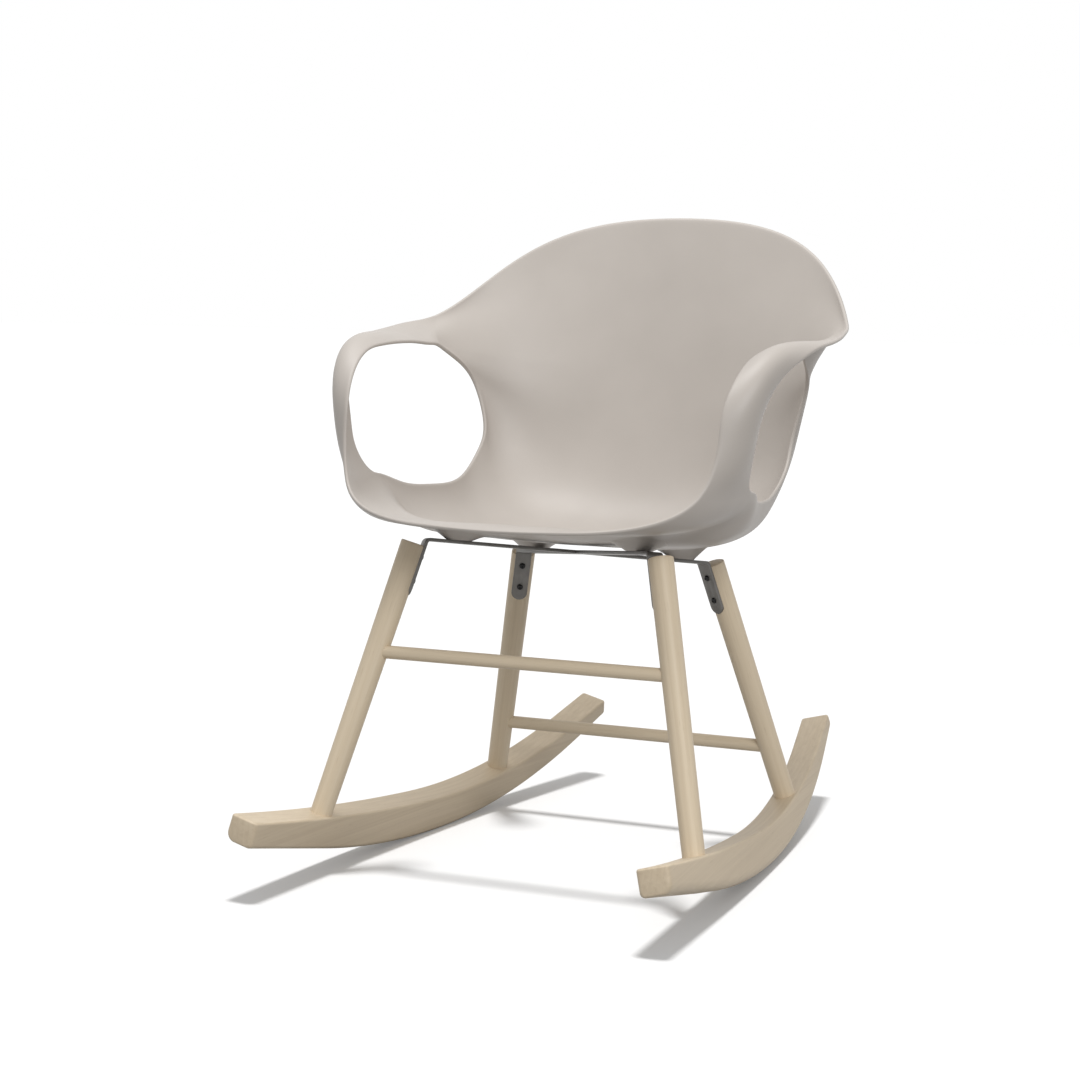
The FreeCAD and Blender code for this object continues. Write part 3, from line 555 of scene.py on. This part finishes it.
def rocker_under(along):
    """Height of the runner's underside at this place along it."""
    ahead = along - ROCKER_LOW[0]
    radius, turn = ((ROCKER_REAR_RADIUS, ROCKER_REAR_TURN) if ahead > 0
                    else (ROCKER_FRONT_RADIUS, ROCKER_FRONT_TURN))
    ahead = abs(ahead)
    if ahead < radius * math.sin(turn):
        return ROCKER_LOW[1] + radius - math.sqrt(radius ** 2 - ahead ** 2)
    rise = radius * (1 - math.cos(turn))
    return ROCKER_LOW[1] + rise + (ahead - radius * math.sin(turn)) * math.tan(turn)


def under_from(place, heading):
    """Depth of the runner square to its top at this place, closed in on from a first guess."""
    depth = FIRST_DEPTH
    down = Vector((math.sin(heading), -math.cos(heading)))
    for _ in range(DEPTH_ROUNDS):
        foot = place + down * depth
        depth += (foot.y - rocker_under(foot.x)) / math.cos(heading)
    return depth


def rocker_section(depth, inset):
    """Corner-rounded outline (out, down) of the runner, drawn in by this much near an end."""
    half = ROCKER_WIDTH / 2 - inset
    inset *= ROCKER_END_DROP
    corners = [
        (half, inset, ROCKER_ROUNDS["high"], 0),
        (half, depth - inset, ROCKER_ROUNDS["low_outer"], 90),
        (-half, depth - inset, ROCKER_ROUNDS["low_inner"], 180),
        (-half, inset, ROCKER_ROUNDS["high"], 270),
    ]
    outline = []
    for out, down, corner_round, start in corners:
        corner_round = max(corner_round - inset, ROCKER_LEAST_ROUND)
        centre_out = out - math.copysign(corner_round, out)
        centre_down = down + corner_round if start in (0, 270) else down - corner_round
        for step in range(ROCKER_ROUND_STEPS + 1):
            angle = math.radians(-90 + start + 90 * step / ROCKER_ROUND_STEPS)
            outline.append((centre_out + corner_round * math.cos(angle),
                            centre_down + corner_round * math.sin(angle)))
    return outline


def rocker_mesh(name):
    """The left runner from its front tip: rings of its outline, drawn in where an end is rounded."""
    length = sum(run for run, _ in ROCKER_TOP_RUNS)
    angles = [math.pi / 2 * step / ROCKER_END_STEPS for step in range(ROCKER_END_STEPS)]
    front_end = [(ROCKER_END_ROUND * (1 - math.cos(angle)), ROCKER_END_ROUND * (1 - math.sin(angle)))
                 for angle in angles]
    travels = list(front_end)
    for step in range(ROCKER_STATIONS + 1):
        share = step / ROCKER_STATIONS
        travels.append((ROCKER_END_ROUND + (length - 2 * ROCKER_END_ROUND) * share, 0.0))
    travels += [(length - travel, inset) for travel, inset in reversed(front_end)]
    points, faces = [], []
    for travel, inset in travels:
        place, heading = rocker_top(travel)
        depth = under_from(place, heading)
        down = Vector((math.sin(heading), -math.cos(heading)))
        for out, below in rocker_section(depth, inset):
            spot = place + down * below
            points.append(rocker_point(spot.x, out, spot.y))
    ring = len(points) // len(travels)
    for row in range(len(travels) - 1):
        for spot in range(ring):
            after = (spot + 1) % ring
            faces.append((row * ring + spot, row * ring + after, (row + 1) * ring + after,
                          (row + 1) * ring + spot))
    faces.append(list(range(ring)))
    faces.append(list(range(len(points) - ring, len(points))))
    return mesh_of(name, points, faces)


def mirror_mesh(mesh, name):
    """The same mesh on the sitter's right, its faces turned outwards again."""
    copy = mesh.copy()
    copy.name = name
    copy.transform(Matrix.Scale(-1, 4, Vector((1, 0, 0))))
    copy.flip_normals()
    return copy


def beech(name, tones, turn, shift):
    """Pale beech under a clear matt lacquer. The grain runs along the piece's own z after the turn."""
    material, tree, shader, where = new_material(name)
    board = node(tree, "ShaderNodeMapping", {"Vector": where, "Rotation": turn, "Location": shift})

    def stretched(across, along):
        scale = (across, across, along)
        scaled = node(tree, "ShaderNodeMapping", {"Vector": board.outputs["Vector"], "Scale": scale})
        return scaled.outputs["Vector"]

    drift = noise(tree, stretched(9, 1.6), 1.0, 3.0)
    streaks = noise(tree, stretched(150, 3.2), 1.0, 5.0, Roughness=0.62, Distortion=0.5)
    flecks = noise(tree, stretched(700, 45), 1.0, 2.0)
    rings = node(tree, "ShaderNodeTexWave",
                 {"Vector": stretched(1, 0.08), "Scale": 42.0, "Distortion": 3.2, "Detail": 2.0,
                  "Detail Scale": 1.2}, wave_type="RINGS", rings_direction="Z", wave_profile="SAW")
    figure = node(tree, "ShaderNodeMix", {"Factor": 0.1, "A": streaks, "B": rings.outputs["Fac"]})
    depth = node(tree, "ShaderNodeMix", {"Factor": 0.25, "A": figure.outputs["Result"], "B": drift})
    dark, plain, pale, fleck = tones
    wood = colour_steps(tree, depth.outputs["Result"], [(0.28, dark), (0.5, plain), (0.72, pale)])
    flecked = node(tree, "ShaderNodeMapRange",
                   {"Value": flecks, "From Min": 0.64, "From Max": 0.74, "To Max": 0.35})
    colour = node(tree, "ShaderNodeMix",
                  {"Factor": flecked.outputs["Result"], "A": wood, "B": linear(fleck)}, data_type="RGBA")
    feed(tree, shader, {
        "Base Color": colour.outputs["Result"],
        "Roughness": between(tree, streaks, 0.46, 0.58),
        "Normal": raised(tree, figure.outputs["Result"], 0.1, 0.0004),
    })
    return material


def grain_turn(way):
    """The turn that brings this direction of a piece onto the z axis of its grain."""
    return tuple(Vector(way).rotation_difference(Vector((0, 0, 1))).to_euler("XYZ"))


LEG_TONES = [(208, 190, 163), (219, 202, 175), (228, 212, 187), (193, 173, 145)]
ROCKER_TONES = [(195, 177, 151), (206, 189, 163), (216, 200, 175), (181, 161, 133)]
runners = {"left": new_piece("runner_left", rocker_mesh("runner_left")),
           "right": new_piece("runner_right", bpy.data.meshes.new("runner_right"))}

# Legs and stretchers
# Round beech rods. A leg is turned with a slight taper, its top is cut square with a soft edge, and
# its foot is cut to the runner. The two stretchers are glued into blind holes in the legs.
LEG_FOOT_RADIUS = 13.0
LEG_TOP_RADIUS = 15.0
LEG_SINK = 20.0
LEG_TOP_ROUND = 1.4
LEGS = {
    "front": {"foot": (239, -238, 73.5), "head": (159.9, -148.5, 392), "turn": 141.0},
    "rear": {"foot": (202.6, 162, 53.4), "head": (129.3, 91.1, 354), "turn": 242.0},
}
STRETCHERS = {"front": (189.8, -184.6, 263.4), "rear": (184.9, 146.8, 117.8)}
STRETCHER_RADIUS = 8.0
STRETCHER_END_ROUND = 0.6
DOWEL_RADIUS = 5.0
DOWEL_REACH = 26.0
DOWEL_HOLE_ROUND = 0.2
LEG_INSERT_RADIUS = 3.25
LEG_INSERT_REACH = 12.0
INSERT_HOLE_ROUND = 0.1
TAB_OFFSET = 11.0
TAB_REACH = 62.0
TAB_WIDTH = 20.0
TAB_SCREWS_DOWN = (14.0, 44.0)
SLOT_PLAY = 0.25
SLOT_PAST_LEG = 12.0
SLOT_STEPS = 24
ROD_SIDES = 64
ROD_RINGS = 40


def new_tree(name, sockets):
    """A tree whose output is a shape, with a named input for each (name, kind, value)."""
    tree = bpy.data.node_groups.new(name, "GeometryNodeTree")
    tree.interface.new_socket(name="Geometry", in_out="OUTPUT", socket_type="NodeSocketGeometry")
    for wording, kind, value in sockets:
        socket = tree.interface.new_socket(name=wording, in_out="INPUT", socket_type=f"NodeSocket{kind}")
        if value is not None:
            socket.default_value = value
    return tree, tree.nodes.new("NodeGroupInput").outputs


def end_tree(tree, shape, finish):
    """Makes the shape's copies real, gives them their material and hands them out."""
    realised = node(tree, "GeometryNodeRealizeInstances", {"Geometry": shape})
    finished = node(tree, "GeometryNodeSetMaterial",
                    {"Geometry": realised.outputs["Geometry"], "Material": finish})
    node(tree, "NodeGroupOutput", {"Geometry": finished.outputs["Geometry"]})


def turned_rod_tree():
    """A rod between two points, tapered between two radii, with its two ends softly rounded."""
    tree, given = new_tree("turned_rod", [
        ("Start", "Vector", (0, 0, 0)), ("End", "Vector", (0, 0, 0.1)),
        ("Start Radius", "Float", 0.01), ("End Radius", "Float", 0.01), ("Edge Round", "Float", 0.001),
        ("Sides", "Int", ROD_SIDES), ("Rings", "Int", ROD_RINGS), ("Finish", "Material", None),
    ])
    line = node(tree, "GeometryNodeCurvePrimitiveLine", {"Start": given["Start"], "End": given["End"]})
    rings = node(tree, "GeometryNodeResampleCurve",
                 {"Curve": line.outputs["Curve"], "Count": given["Rings"]})
    share = node(tree, "GeometryNodeSplineParameter").outputs["Factor"]

    def maths(operation, first, second=0.0):
        made = node(tree, "ShaderNodeMath", {0: first, 1: second}, operation=operation)
        return made.outputs["Value"]

    # Rings crowd towards both ends, so that the rounded edges are smooth.
    swing = maths("COSINE", maths("MULTIPLY", share, math.pi))
    eased = maths("MULTIPLY", maths("SUBTRACT", 1.0, swing), 0.5)
    place = node(tree, "ShaderNodeMix", {"Factor": eased, 4: given["Start"], 5: given["End"]},
                 data_type="VECTOR")
    eased_rings = node(tree, "GeometryNodeSetPosition",
                       {"Geometry": rings.outputs["Curve"], "Position": place.outputs[1]})
    # Near an end the radius follows a quarter circle.
    length = node(tree, "ShaderNodeVectorMath", {0: given["Start"], 1: given["End"]},
                  operation="DISTANCE").outputs["Value"]
    to_end = maths("MULTIPLY", maths("MINIMUM", share, maths("SUBTRACT", 1.0, share)), length)
    short = maths("MAXIMUM", maths("SUBTRACT", given["Edge Round"], to_end), 0.0)
    quarter = maths("SUBTRACT", maths("POWER", given["Edge Round"], 2.0), maths("POWER", short, 2.0))
    drawn_in = maths("SUBTRACT", given["Edge Round"], maths("SQRT", maths("MAXIMUM", quarter, 0.0)))
    widening = maths("SUBTRACT", given["End Radius"], given["Start Radius"])
    taper = maths("ADD", given["Start Radius"], maths("MULTIPLY", widening, share))
    circle = node(tree, "GeometryNodeCurvePrimitiveCircle",
                  {"Resolution": given["Sides"], "Radius": 1.0})
    rod_shape = node(tree, "GeometryNodeCurveToMesh",
                     {"Curve": eased_rings.outputs["Geometry"], "Profile Curve": circle.outputs["Curve"],
                      "Scale": maths("SUBTRACT", taper, drawn_in), "Fill Caps": True})
    end_tree(tree, rod_shape.outputs["Mesh"], given["Finish"])
    return tree


rod_tree = turned_rod_tree()


def grow(piece, tree, values):
    """Runs a tree on a piece, with its named inputs at these values, and keeps the plain mesh."""
    modifier = piece.modifiers.new("maker", "NODES")
    modifier.node_group = tree
    names = {item.name: item.identifier for item in tree.interface.items_tree if item.in_out == "INPUT"}
    for wording, value in values.items():
        modifier[names[wording]] = value
    settle(piece)


def rod(name, start, end, start_radius, end_radius, edge_round, finish=None):
    """A turned rod, in millimetres."""
    piece = new_piece(name, bpy.data.meshes.new(name))
    grow(piece, rod_tree, {
        "Start": tuple(Vector(start) * MM), "End": tuple(Vector(end) * MM),
        "Start Radius": start_radius * MM, "End Radius": end_radius * MM,
        "Edge Round": edge_round * MM, "Finish": finish,
    })
    face_outwards(piece.data)
    shade(piece.data, 50)
    return piece


def carve(piece, cutters):
    """Takes the cutters' shapes out of a piece."""
    for cutter in cutters:
        work = piece.modifiers.new("carve", "BOOLEAN")
        work.operation = "DIFFERENCE"
        work.solver = "EXACT"
        work.object = cutter
    settle(piece)


def leg_axes(name):
    """The leg's foot and head, and three directions: along it, towards its tab, and aside."""
    foot, head = Vector(LEGS[name]["foot"]), Vector(LEGS[name]["head"])
    up = (head - foot).normalized()
    turn = math.radians(LEGS[name]["turn"])
    inwards = Vector((math.cos(turn), math.sin(turn), 0))
    inwards = (inwards - up * inwards.dot(up)).normalized()
    return foot, head, up, inwards, up.cross(inwards)


def slot_cutter(name):
    """The milled seat for a bar's tab: straight sides, half-round at its lower end."""
    _, head, up, inwards, aside = leg_axes(name)
    half = TAB_WIDTH / 2 + SLOT_PLAY
    outline = [(-half, SLOT_PAST_LEG), (half, SLOT_PAST_LEG)]
    for step in range(SLOT_STEPS + 1):
        angle = -math.pi * step / SLOT_STEPS
        outline.append((half * math.cos(angle), -TAB_REACH + TAB_WIDTH / 2 + half * math.sin(angle)))
    points = []
    for depth in (TAB_OFFSET, TAB_OFFSET + SLOT_PAST_LEG):
        points += [head + inwards * depth + aside * out + up * high for out, high in outline]
    count = len(outline)
    faces = [list(range(count)), list(range(count, 2 * count))]
    for spot in range(count):
        after = (spot + 1) % count
        faces.append((spot, after, count + after, count + spot))
    return new_piece(f"{name}_slot_cutter", mesh_of(f"{name}_slot_cutter", points, faces))


stretcher_pieces = {}
for name, (reach, back, high) in STRETCHERS.items():
    finish = beech(f"{name}_stretcher_beech", LEG_TONES, grain_turn((1, 0, 0)), (0.2, 0.4, 0.1))
    stretcher = rod(f"{name}_stretcher_rod", (-reach, back, high), (reach, back, high),
                    STRETCHER_RADIUS, STRETCHER_RADIUS, STRETCHER_END_ROUND, finish)
    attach(stretcher, "root")
    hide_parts(f"{name}_stretcher")
    stretcher_pieces[name] = stretcher

leg_pieces = []
for name in LEGS:
    foot, head, up, inwards, _ = leg_axes(name)
    dowel_hole = rod(f"{name}_dowel_hole", foot - up * DOWEL_REACH, foot + up * DOWEL_REACH,
                     DOWEL_RADIUS, DOWEL_RADIUS, DOWEL_HOLE_ROUND)
    cutters = [slot_cutter(name), dowel_hole]
    for down in TAB_SCREWS_DOWN:
        start = head - up * down
        cutters.append(rod(f"{name}_insert_hole", start + inwards, start + inwards * LEG_INSERT_REACH,
                           LEG_INSERT_RADIUS, LEG_INSERT_RADIUS, INSERT_HOLE_ROUND))
    leg = rod(f"{name}_turned_leg_left", foot - up * LEG_SINK, head, LEG_FOOT_RADIUS, LEG_TOP_RADIUS,
              LEG_TOP_ROUND)
    carve(leg, [runners["left"], stretcher_pieces[name]] + cutters)
    carve(runners["left"], [dowel_hole])
    for cutter in cutters:
        bpy.data.objects.remove(cutter)
    face_outwards(leg.data)
    mirror = new_piece(f"{name}_turned_leg_right", mirror_mesh(leg.data, f"{name}_turned_leg_right"))
    coat(leg.data, beech(f"{name}_leg_beech_left", LEG_TONES, grain_turn(up), (0.3, 0.2, 0.7)))
    coat(mirror.data, beech(f"{name}_leg_beech_right", LEG_TONES, grain_turn((-up.x, up.y, up.z)),
                            (0.5, 0.9, 0.2)))
    for piece, side in ((leg, "left"), (mirror, "right")):
        shade(piece.data, 35)
        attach(piece, "root")
        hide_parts(f"{name}_leg_{side}")
        leg_pieces.append(piece)

# The left runner has its dowel holes by now, so the right one can be its mirror image.
runners["right"].data = mirror_mesh(runners["left"].data, "runner_right")
for side, sign in (("left", 1), ("right", -1)):
    runner = runners[side]
    way = (rocker_along.x * sign, rocker_along.y, rocker_along.z)
    coat(runner.data, beech(f"rocker_beech_{side}", ROCKER_TONES, grain_turn(way),
                            (0.05 * sign, 0.11, 0.3)))
    shade(runner.data, 50)
    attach(runner, "root")
    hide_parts(f"rocker_{side}")

# Dowels
# Plain beech pegs, 10 mm thick, glued into a hole in the foot of each leg and into its runner. They
# can't be seen from outside.
peg_finish = beech("dowel_beech", LEG_TONES, (0, 0, 0), (0, 0, 0))
for name in LEGS:
    for side in ("left", "right"):
        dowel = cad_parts[f"{name}_dowel_{side}"]
        dowel.data.materials.clear()
        dowel.data.materials.append(peg_finish)

# Crossed bars
# Two flat steel bars that cross under the seat, where each is halved to let the other pass. Their ends
# are folded down as tabs, and they are powder coated in grey.
BAR_THICKNESS = 4.0
BAR_EDGE_ROUND = 0.5
BAR_MERGE = 2e-6
BAR_FLAT_WITHIN = 0.5


def coated_steel():
    """Powder coat on steel: mid grey, slightly warm, with the fine orange peel of baked powder."""
    material, tree, shader, where = new_material("coated_steel")
    mottle = noise(tree, where, 60.0, 4.0)
    peel = noise(tree, where, 1100.0, 2.0)
    feed(tree, shader, {
        "Base Color": colour_steps(tree, mottle, [(0.35, (102, 100, 97)), (0.65, (114, 112, 109))]),
        "Roughness": between(tree, mottle, 0.38, 0.5),
        "Normal": raised(tree, peel, 0.15, 0.0003),
        "Metallic": 0.55,
    })
    return material


def cleaned_copy(cad_node, name):
    """A copy of a piece of the frame, with its triangles joined and its flat faces made whole."""
    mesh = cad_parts[cad_node].data.copy()
    mesh.name = name
    work = bmesh.new()
    work.from_mesh(mesh)
    bmesh.ops.remove_doubles(work, verts=work.verts, dist=BAR_MERGE)
    bmesh.ops.dissolve_limit(work, angle_limit=math.radians(BAR_FLAT_WITHIN), verts=work.verts,
                             edges=work.edges)
    work.to_mesh(mesh)
    work.free()
    return new_piece(name, mesh)


bar_finish = coated_steel()
for layer in ("upper", "lower"):
    bar = cleaned_copy(f"cross_bar_{layer}", f"{layer}_folded_bar")
    soften = bar.modifiers.new("soften", "BEVEL")
    soften.width = BAR_EDGE_ROUND * MM
    soften.segments = 2
    soften.limit_method = "ANGLE"
    soften.angle_limit = math.radians(50)
    settle(bar)
    coat(bar.data, bar_finish)
    shade(bar.data, 30)
    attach(bar, "root")
    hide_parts(f"cross_bar_{layer}")

# Screws
# Black steel screws with a hexagon socket: two button heads in each tab, and four countersunk ones
# from below, flush with the bars, into the bosses.
SCREW_SIDES = 40
SOCKET_CUT = 6.0
SHANK_CHAMFER = 0.4
HEAD_UNDERCUT = 0.15
HEAD_EDGE = 0.2
CROWN_SHARE = 1.25
CROWN_STEPS = 8
FLUSH_EDGE = [(0.0, -0.25), (0.1, -0.05), (0.3, 0.0)]
TAB_SCREW = {"radius": 2.0, "length": 14.0, "head_radius": 3.8, "head_height": 2.2, "key": 1.45,
             "key_floor": 0.8}
SEAT_SCREW = {"radius": 3.0, "length": 12.0, "head_radius": 6.0, "head_height": 3.0, "key": 2.3,
              "key_floor": -1.8}


def shank_outline(sizes, top):
    """Outline of the shank, from a small chamfer at its end up to this height."""
    radius, end = sizes["radius"], -sizes["length"]
    return [(radius - SHANK_CHAMFER, end), (radius, end + SHANK_CHAMFER), (radius, top)]


def button_outline(sizes):
    """Outline of a button-head screw: its head rises from z = 0, its shank goes down."""
    head, height, crown = sizes["head_radius"], sizes["head_height"], sizes["key"] * CROWN_SHARE
    outline = shank_outline(sizes, 0.0) + [(head - HEAD_UNDERCUT, 0.0), (head, HEAD_EDGE)]
    for step in range(1, CROWN_STEPS + 1):
        angle = math.pi / 2 * step / CROWN_STEPS
        outline.append((crown + (head - crown) * math.cos(angle),
                        HEAD_EDGE + (height - HEAD_EDGE) * math.sin(angle)))
    return outline


def countersunk_outline(sizes):
    """Outline of a countersunk screw, whose head is flush with z = 0."""
    outline = shank_outline(sizes, -sizes["head_height"])
    return outline + [(sizes["head_radius"] - inset, high) for inset, high in FLUSH_EDGE]


def turned_screw(name, outline, sizes):
    """One screw along z, turned from its outline, with a hexagon socket in its head."""
    work = bmesh.new()
    rings = []
    for ring_radius, high in outline:
        rings.append([work.verts.new((ring_radius * math.cos(math.tau * side / SCREW_SIDES) * MM,
                                      ring_radius * math.sin(math.tau * side / SCREW_SIDES) * MM,
                                      high * MM))
                      for side in range(SCREW_SIDES)])
    for ring, after in zip(rings, rings[1:]):
        for side in range(SCREW_SIDES):
            other = (side + 1) % SCREW_SIDES
            work.faces.new((ring[side], ring[other], after[other], after[side]))
    work.faces.new(rings[0][::-1])
    work.faces.new(rings[-1])
    mesh = bpy.data.meshes.new(name)
    work.to_mesh(mesh)
    work.free()
    screw = new_piece(name, mesh)
    socket_mesh = bpy.data.meshes.new("socket")
    work = bmesh.new()
    middle = (sizes["key_floor"] + SOCKET_CUT / 2) * MM
    bmesh.ops.create_cone(work, cap_ends=True, segments=6, radius1=sizes["key"] * MM,
                          radius2=sizes["key"] * MM, depth=SOCKET_CUT * MM,
                          matrix=Matrix.Translation((0, 0, middle)))
    work.to_mesh(socket_mesh)
    work.free()
    socket = new_piece("socket", socket_mesh)
    carve(screw, [socket])
    bpy.data.objects.remove(socket)
    return screw


def screws_tree():
    """Sets a copy of a screw on each point of the mesh, turned to the point's own direction."""
    tree, given = new_tree("set_screws", [("Geometry", "Geometry", None), ("Screw", "Object", None),
                                          ("Finish", "Material", None)])
    screw = node(tree, "GeometryNodeObjectInfo", {"Object": given["Screw"]})
    way = node(tree, "GeometryNodeInputNamedAttribute", {"Name": "way"}, data_type="FLOAT_VECTOR")
    turn = node(tree, "FunctionNodeAlignRotationToVector", {"Vector": way.outputs["Attribute"]},
                axis="Z")
    placed = node(tree, "GeometryNodeInstanceOnPoints",
                  {"Points": given["Geometry"], "Instance": screw.outputs["Geometry"],
                   "Rotation": turn.outputs["Rotation"]})
    end_tree(tree, placed.outputs["Instances"], given["Finish"])
    return tree


def screw_black():
    """Black oxide on steel: almost black, a little glossy, with worn lighter spots."""
    material, tree, shader, where = new_material("screw_black")
    wear = noise(tree, where, 500.0, 3.0)
    feed(tree, shader, {
        "Base Color": colour_steps(tree, wear, [(0.45, (22, 22, 23)), (0.8, (52, 51, 50))]),
        "Roughness": between(tree, wear, 0.28, 0.45),
        "Metallic": 0.6,
    })
    return material


def set_screws(name, screw, places, replaced):
    """Sets one node's screws, each given by its place and the way its head points."""
    mesh = bpy.data.meshes.new(name)
    mesh.from_pydata([tuple(place) for place, _ in places], [], [])
    ways = mesh.attributes.new("way", "FLOAT_VECTOR", "POINT")
    ways.data.foreach_set("vector", [part for _, way in places for part in way])
    piece = new_piece(name, mesh)
    grow(piece, screw_tree, {"Screw": screw, "Finish": screw_finish})
    shade(piece.data, 35)
    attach(piece, "root")
    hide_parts(replaced)


screw_tree = screws_tree()
screw_finish = screw_black()
tab_screw = turned_screw("tab_screw", button_outline(TAB_SCREW), TAB_SCREW)
seat_screw = turned_screw("seat_screw", countersunk_outline(SEAT_SCREW), SEAT_SCREW)
for name in LEGS:
    _, head, up, inwards, _ = leg_axes(name)
    for side, sign in (("left", 1), ("right", -1)):
        flip = Vector((sign, 1, 1))
        places = []
        for down in TAB_SCREWS_DOWN:
            spot = head - up * down + inwards * (TAB_OFFSET + BAR_THICKNESS)
            places.append((spot * flip * MM, inwards * flip))
        set_screws(f"{name}_button_screws_{side}", tab_screw, places, f"{name}_tab_screws_{side}")
set_screws("seat_flush_screws", seat_screw,
           [(place - bar_up * BAR_THICKNESS * MM, -bar_up) for place in boss_places], "shell_screws")
for screw in (tab_screw, seat_screw):
    bpy.data.objects.remove(screw)


# Threaded inserts
# Turned brass sleeves with a thread inside, pressed into the bosses and the legs. The screws and the
# tabs hide them.
def insert_brass():
    """Bare turned brass, with fine tool marks."""
    material, tree, shader, where = new_material("insert_brass")
    turning = noise(tree, where, 800.0, 2.0)
    feed(tree, shader, {
        "Base Color": colour_steps(tree, turning, [(0.3, (186, 150, 84)), (0.7, (205, 170, 102))]),
        "Roughness": between(tree, turning, 0.25, 0.4),
        "Metallic": 1.0,
    })
    return material


brass = insert_brass()
insert_nodes = ["shell_inserts"]
insert_nodes += [f"{name}_leg_inserts_{side}" for name in LEGS for side in ("left", "right")]
for insert_node in insert_nodes:
    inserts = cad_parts[insert_node]
    inserts.data.materials.clear()
    inserts.data.materials.append(brass)


# Floor and light
# A white floor that keeps the chair's shadow, in a white surround. Two broad soft lamps light the chair
# from the front and from above, and a third lights the floor.
FLOOR_HALF = 12.0
FLOOR_WHITE = 0.82
FLOOR_BOUNCE = 0.3
FLOOR_LIFT = 0.12
AMBIENT = 0.45


def grey(level):
    return level, level, level, 1.0


def seen_by_camera(tree):
    """1 on rays from the camera, also by way of gloss or glass, and 0 on scattered light."""
    rays = node(tree, "ShaderNodeLightPath").outputs
    seen = rays["Is Camera Ray"]
    for kind in ("Is Glossy Ray", "Is Transmission Ray"):
        either = node(tree, "ShaderNodeMath", {0: seen, 1: rays[kind]}, operation="MAXIMUM")
        seen = either.outputs["Value"]
    return seen


def floor_white():
    """White to the eye, and darker to the light that it throws back up under the seat."""
    material = bpy.data.materials.new("floor_white")
    material.use_nodes = True
    tree = material.node_tree
    tree.nodes.clear()
    bright = node(tree, "ShaderNodeBsdfDiffuse", {"Color": grey(FLOOR_WHITE)})
    dim = node(tree, "ShaderNodeBsdfDiffuse", {"Color": grey(FLOOR_BOUNCE)})
    glow = node(tree, "ShaderNodeEmission", {"Color": grey(1.0), "Strength": FLOOR_LIFT})
    lifted = node(tree, "ShaderNodeAddShader", {0: bright.outputs["BSDF"], 1: glow.outputs["Emission"]})
    both = node(tree, "ShaderNodeMixShader", {"Fac": seen_by_camera(tree), 1: dim.outputs["BSDF"],
                                              2: lifted.outputs["Shader"]})
    node(tree, "ShaderNodeOutputMaterial", {"Surface": both.outputs["Shader"]})
    return material


floor_mesh = bpy.data.meshes.new("floor")
floor_mesh.from_pydata([(-FLOOR_HALF, -FLOOR_HALF, 0), (FLOOR_HALF, -FLOOR_HALF, 0),
                        (FLOOR_HALF, FLOOR_HALF, 0), (-FLOOR_HALF, FLOOR_HALF, 0)], [], [(0, 1, 2, 3)])
floor = new_piece("floor", floor_mesh)
floor.data.materials.append(floor_white())

world = bpy.data.worlds.new("surround")
bpy.context.scene.world = world
world.use_nodes = True
sky = world.node_tree
sky.nodes.clear()
even = node(sky, "ShaderNodeBackground", {"Color": grey(1.0), "Strength": AMBIENT})
white = node(sky, "ShaderNodeBackground", {"Color": grey(1.0)})
blend = node(sky, "ShaderNodeMixShader", {"Fac": seen_by_camera(sky), 1: even.outputs["Background"],
                                          2: white.outputs["Background"]})
node(sky, "ShaderNodeOutputWorld", {"Surface": blend.outputs["Shader"]})


def group_of(name, pieces):
    """A set of pieces that a lamp lights, or whose shadow it casts."""
    group = bpy.data.collections.new(name)
    for piece in pieces:
        group.objects.link(piece)
    return group


def lamp(name, kind, place, aim, strength, spread):
    """A lamp aimed at a point. Its spread is an angle in degrees for a sun, and else a width."""
    data = bpy.data.lights.new(name, kind)
    data.energy = strength
    if kind == "SUN":
        data.angle = math.radians(spread)
    else:
        data.shape = "DISK"
        data.size = spread
    light = bpy.data.objects.new(name, data)
    light.location = place
    light.rotation_euler = (Vector(aim) - Vector(place)).to_track_quat("-Z", "Y").to_euler()
    bpy.context.scene.collection.objects.link(light)
    return light


# The lamp over the floor is dimmed by the wooden frame alone, so the seat leaves the floor white.
frame_pieces = [*runners.values(), *stretcher_pieces.values(), *leg_pieces]
chair_pieces = [piece for piece in bpy.data.objects if piece.type == "MESH" and piece is not floor]
chair_only = group_of("chair_only", chair_pieces)
over_floor = lamp("over_floor", "SUN", (0, 0.2, 4.0), (0, 0, 0), strength=2.3, spread=9.0)
over_floor.light_linking.receiver_collection = group_of("floor_only", [floor])
over_floor.light_linking.blocker_collection = group_of("frame_shadows", frame_pieces)
key = lamp("key_front", "AREA", (2.1, -2.2, 2.2), (0, 0, 0.45), strength=46, spread=1.5)
key.light_linking.receiver_collection = chair_only
top = lamp("overhead", "AREA", (-0.3, -0.2, 2.8), (0, 0, 0.4), strength=38, spread=1.6)
top.light_linking.receiver_collection = chair_only

bpy.context.scene.view_settings.view_transform = "Standard"
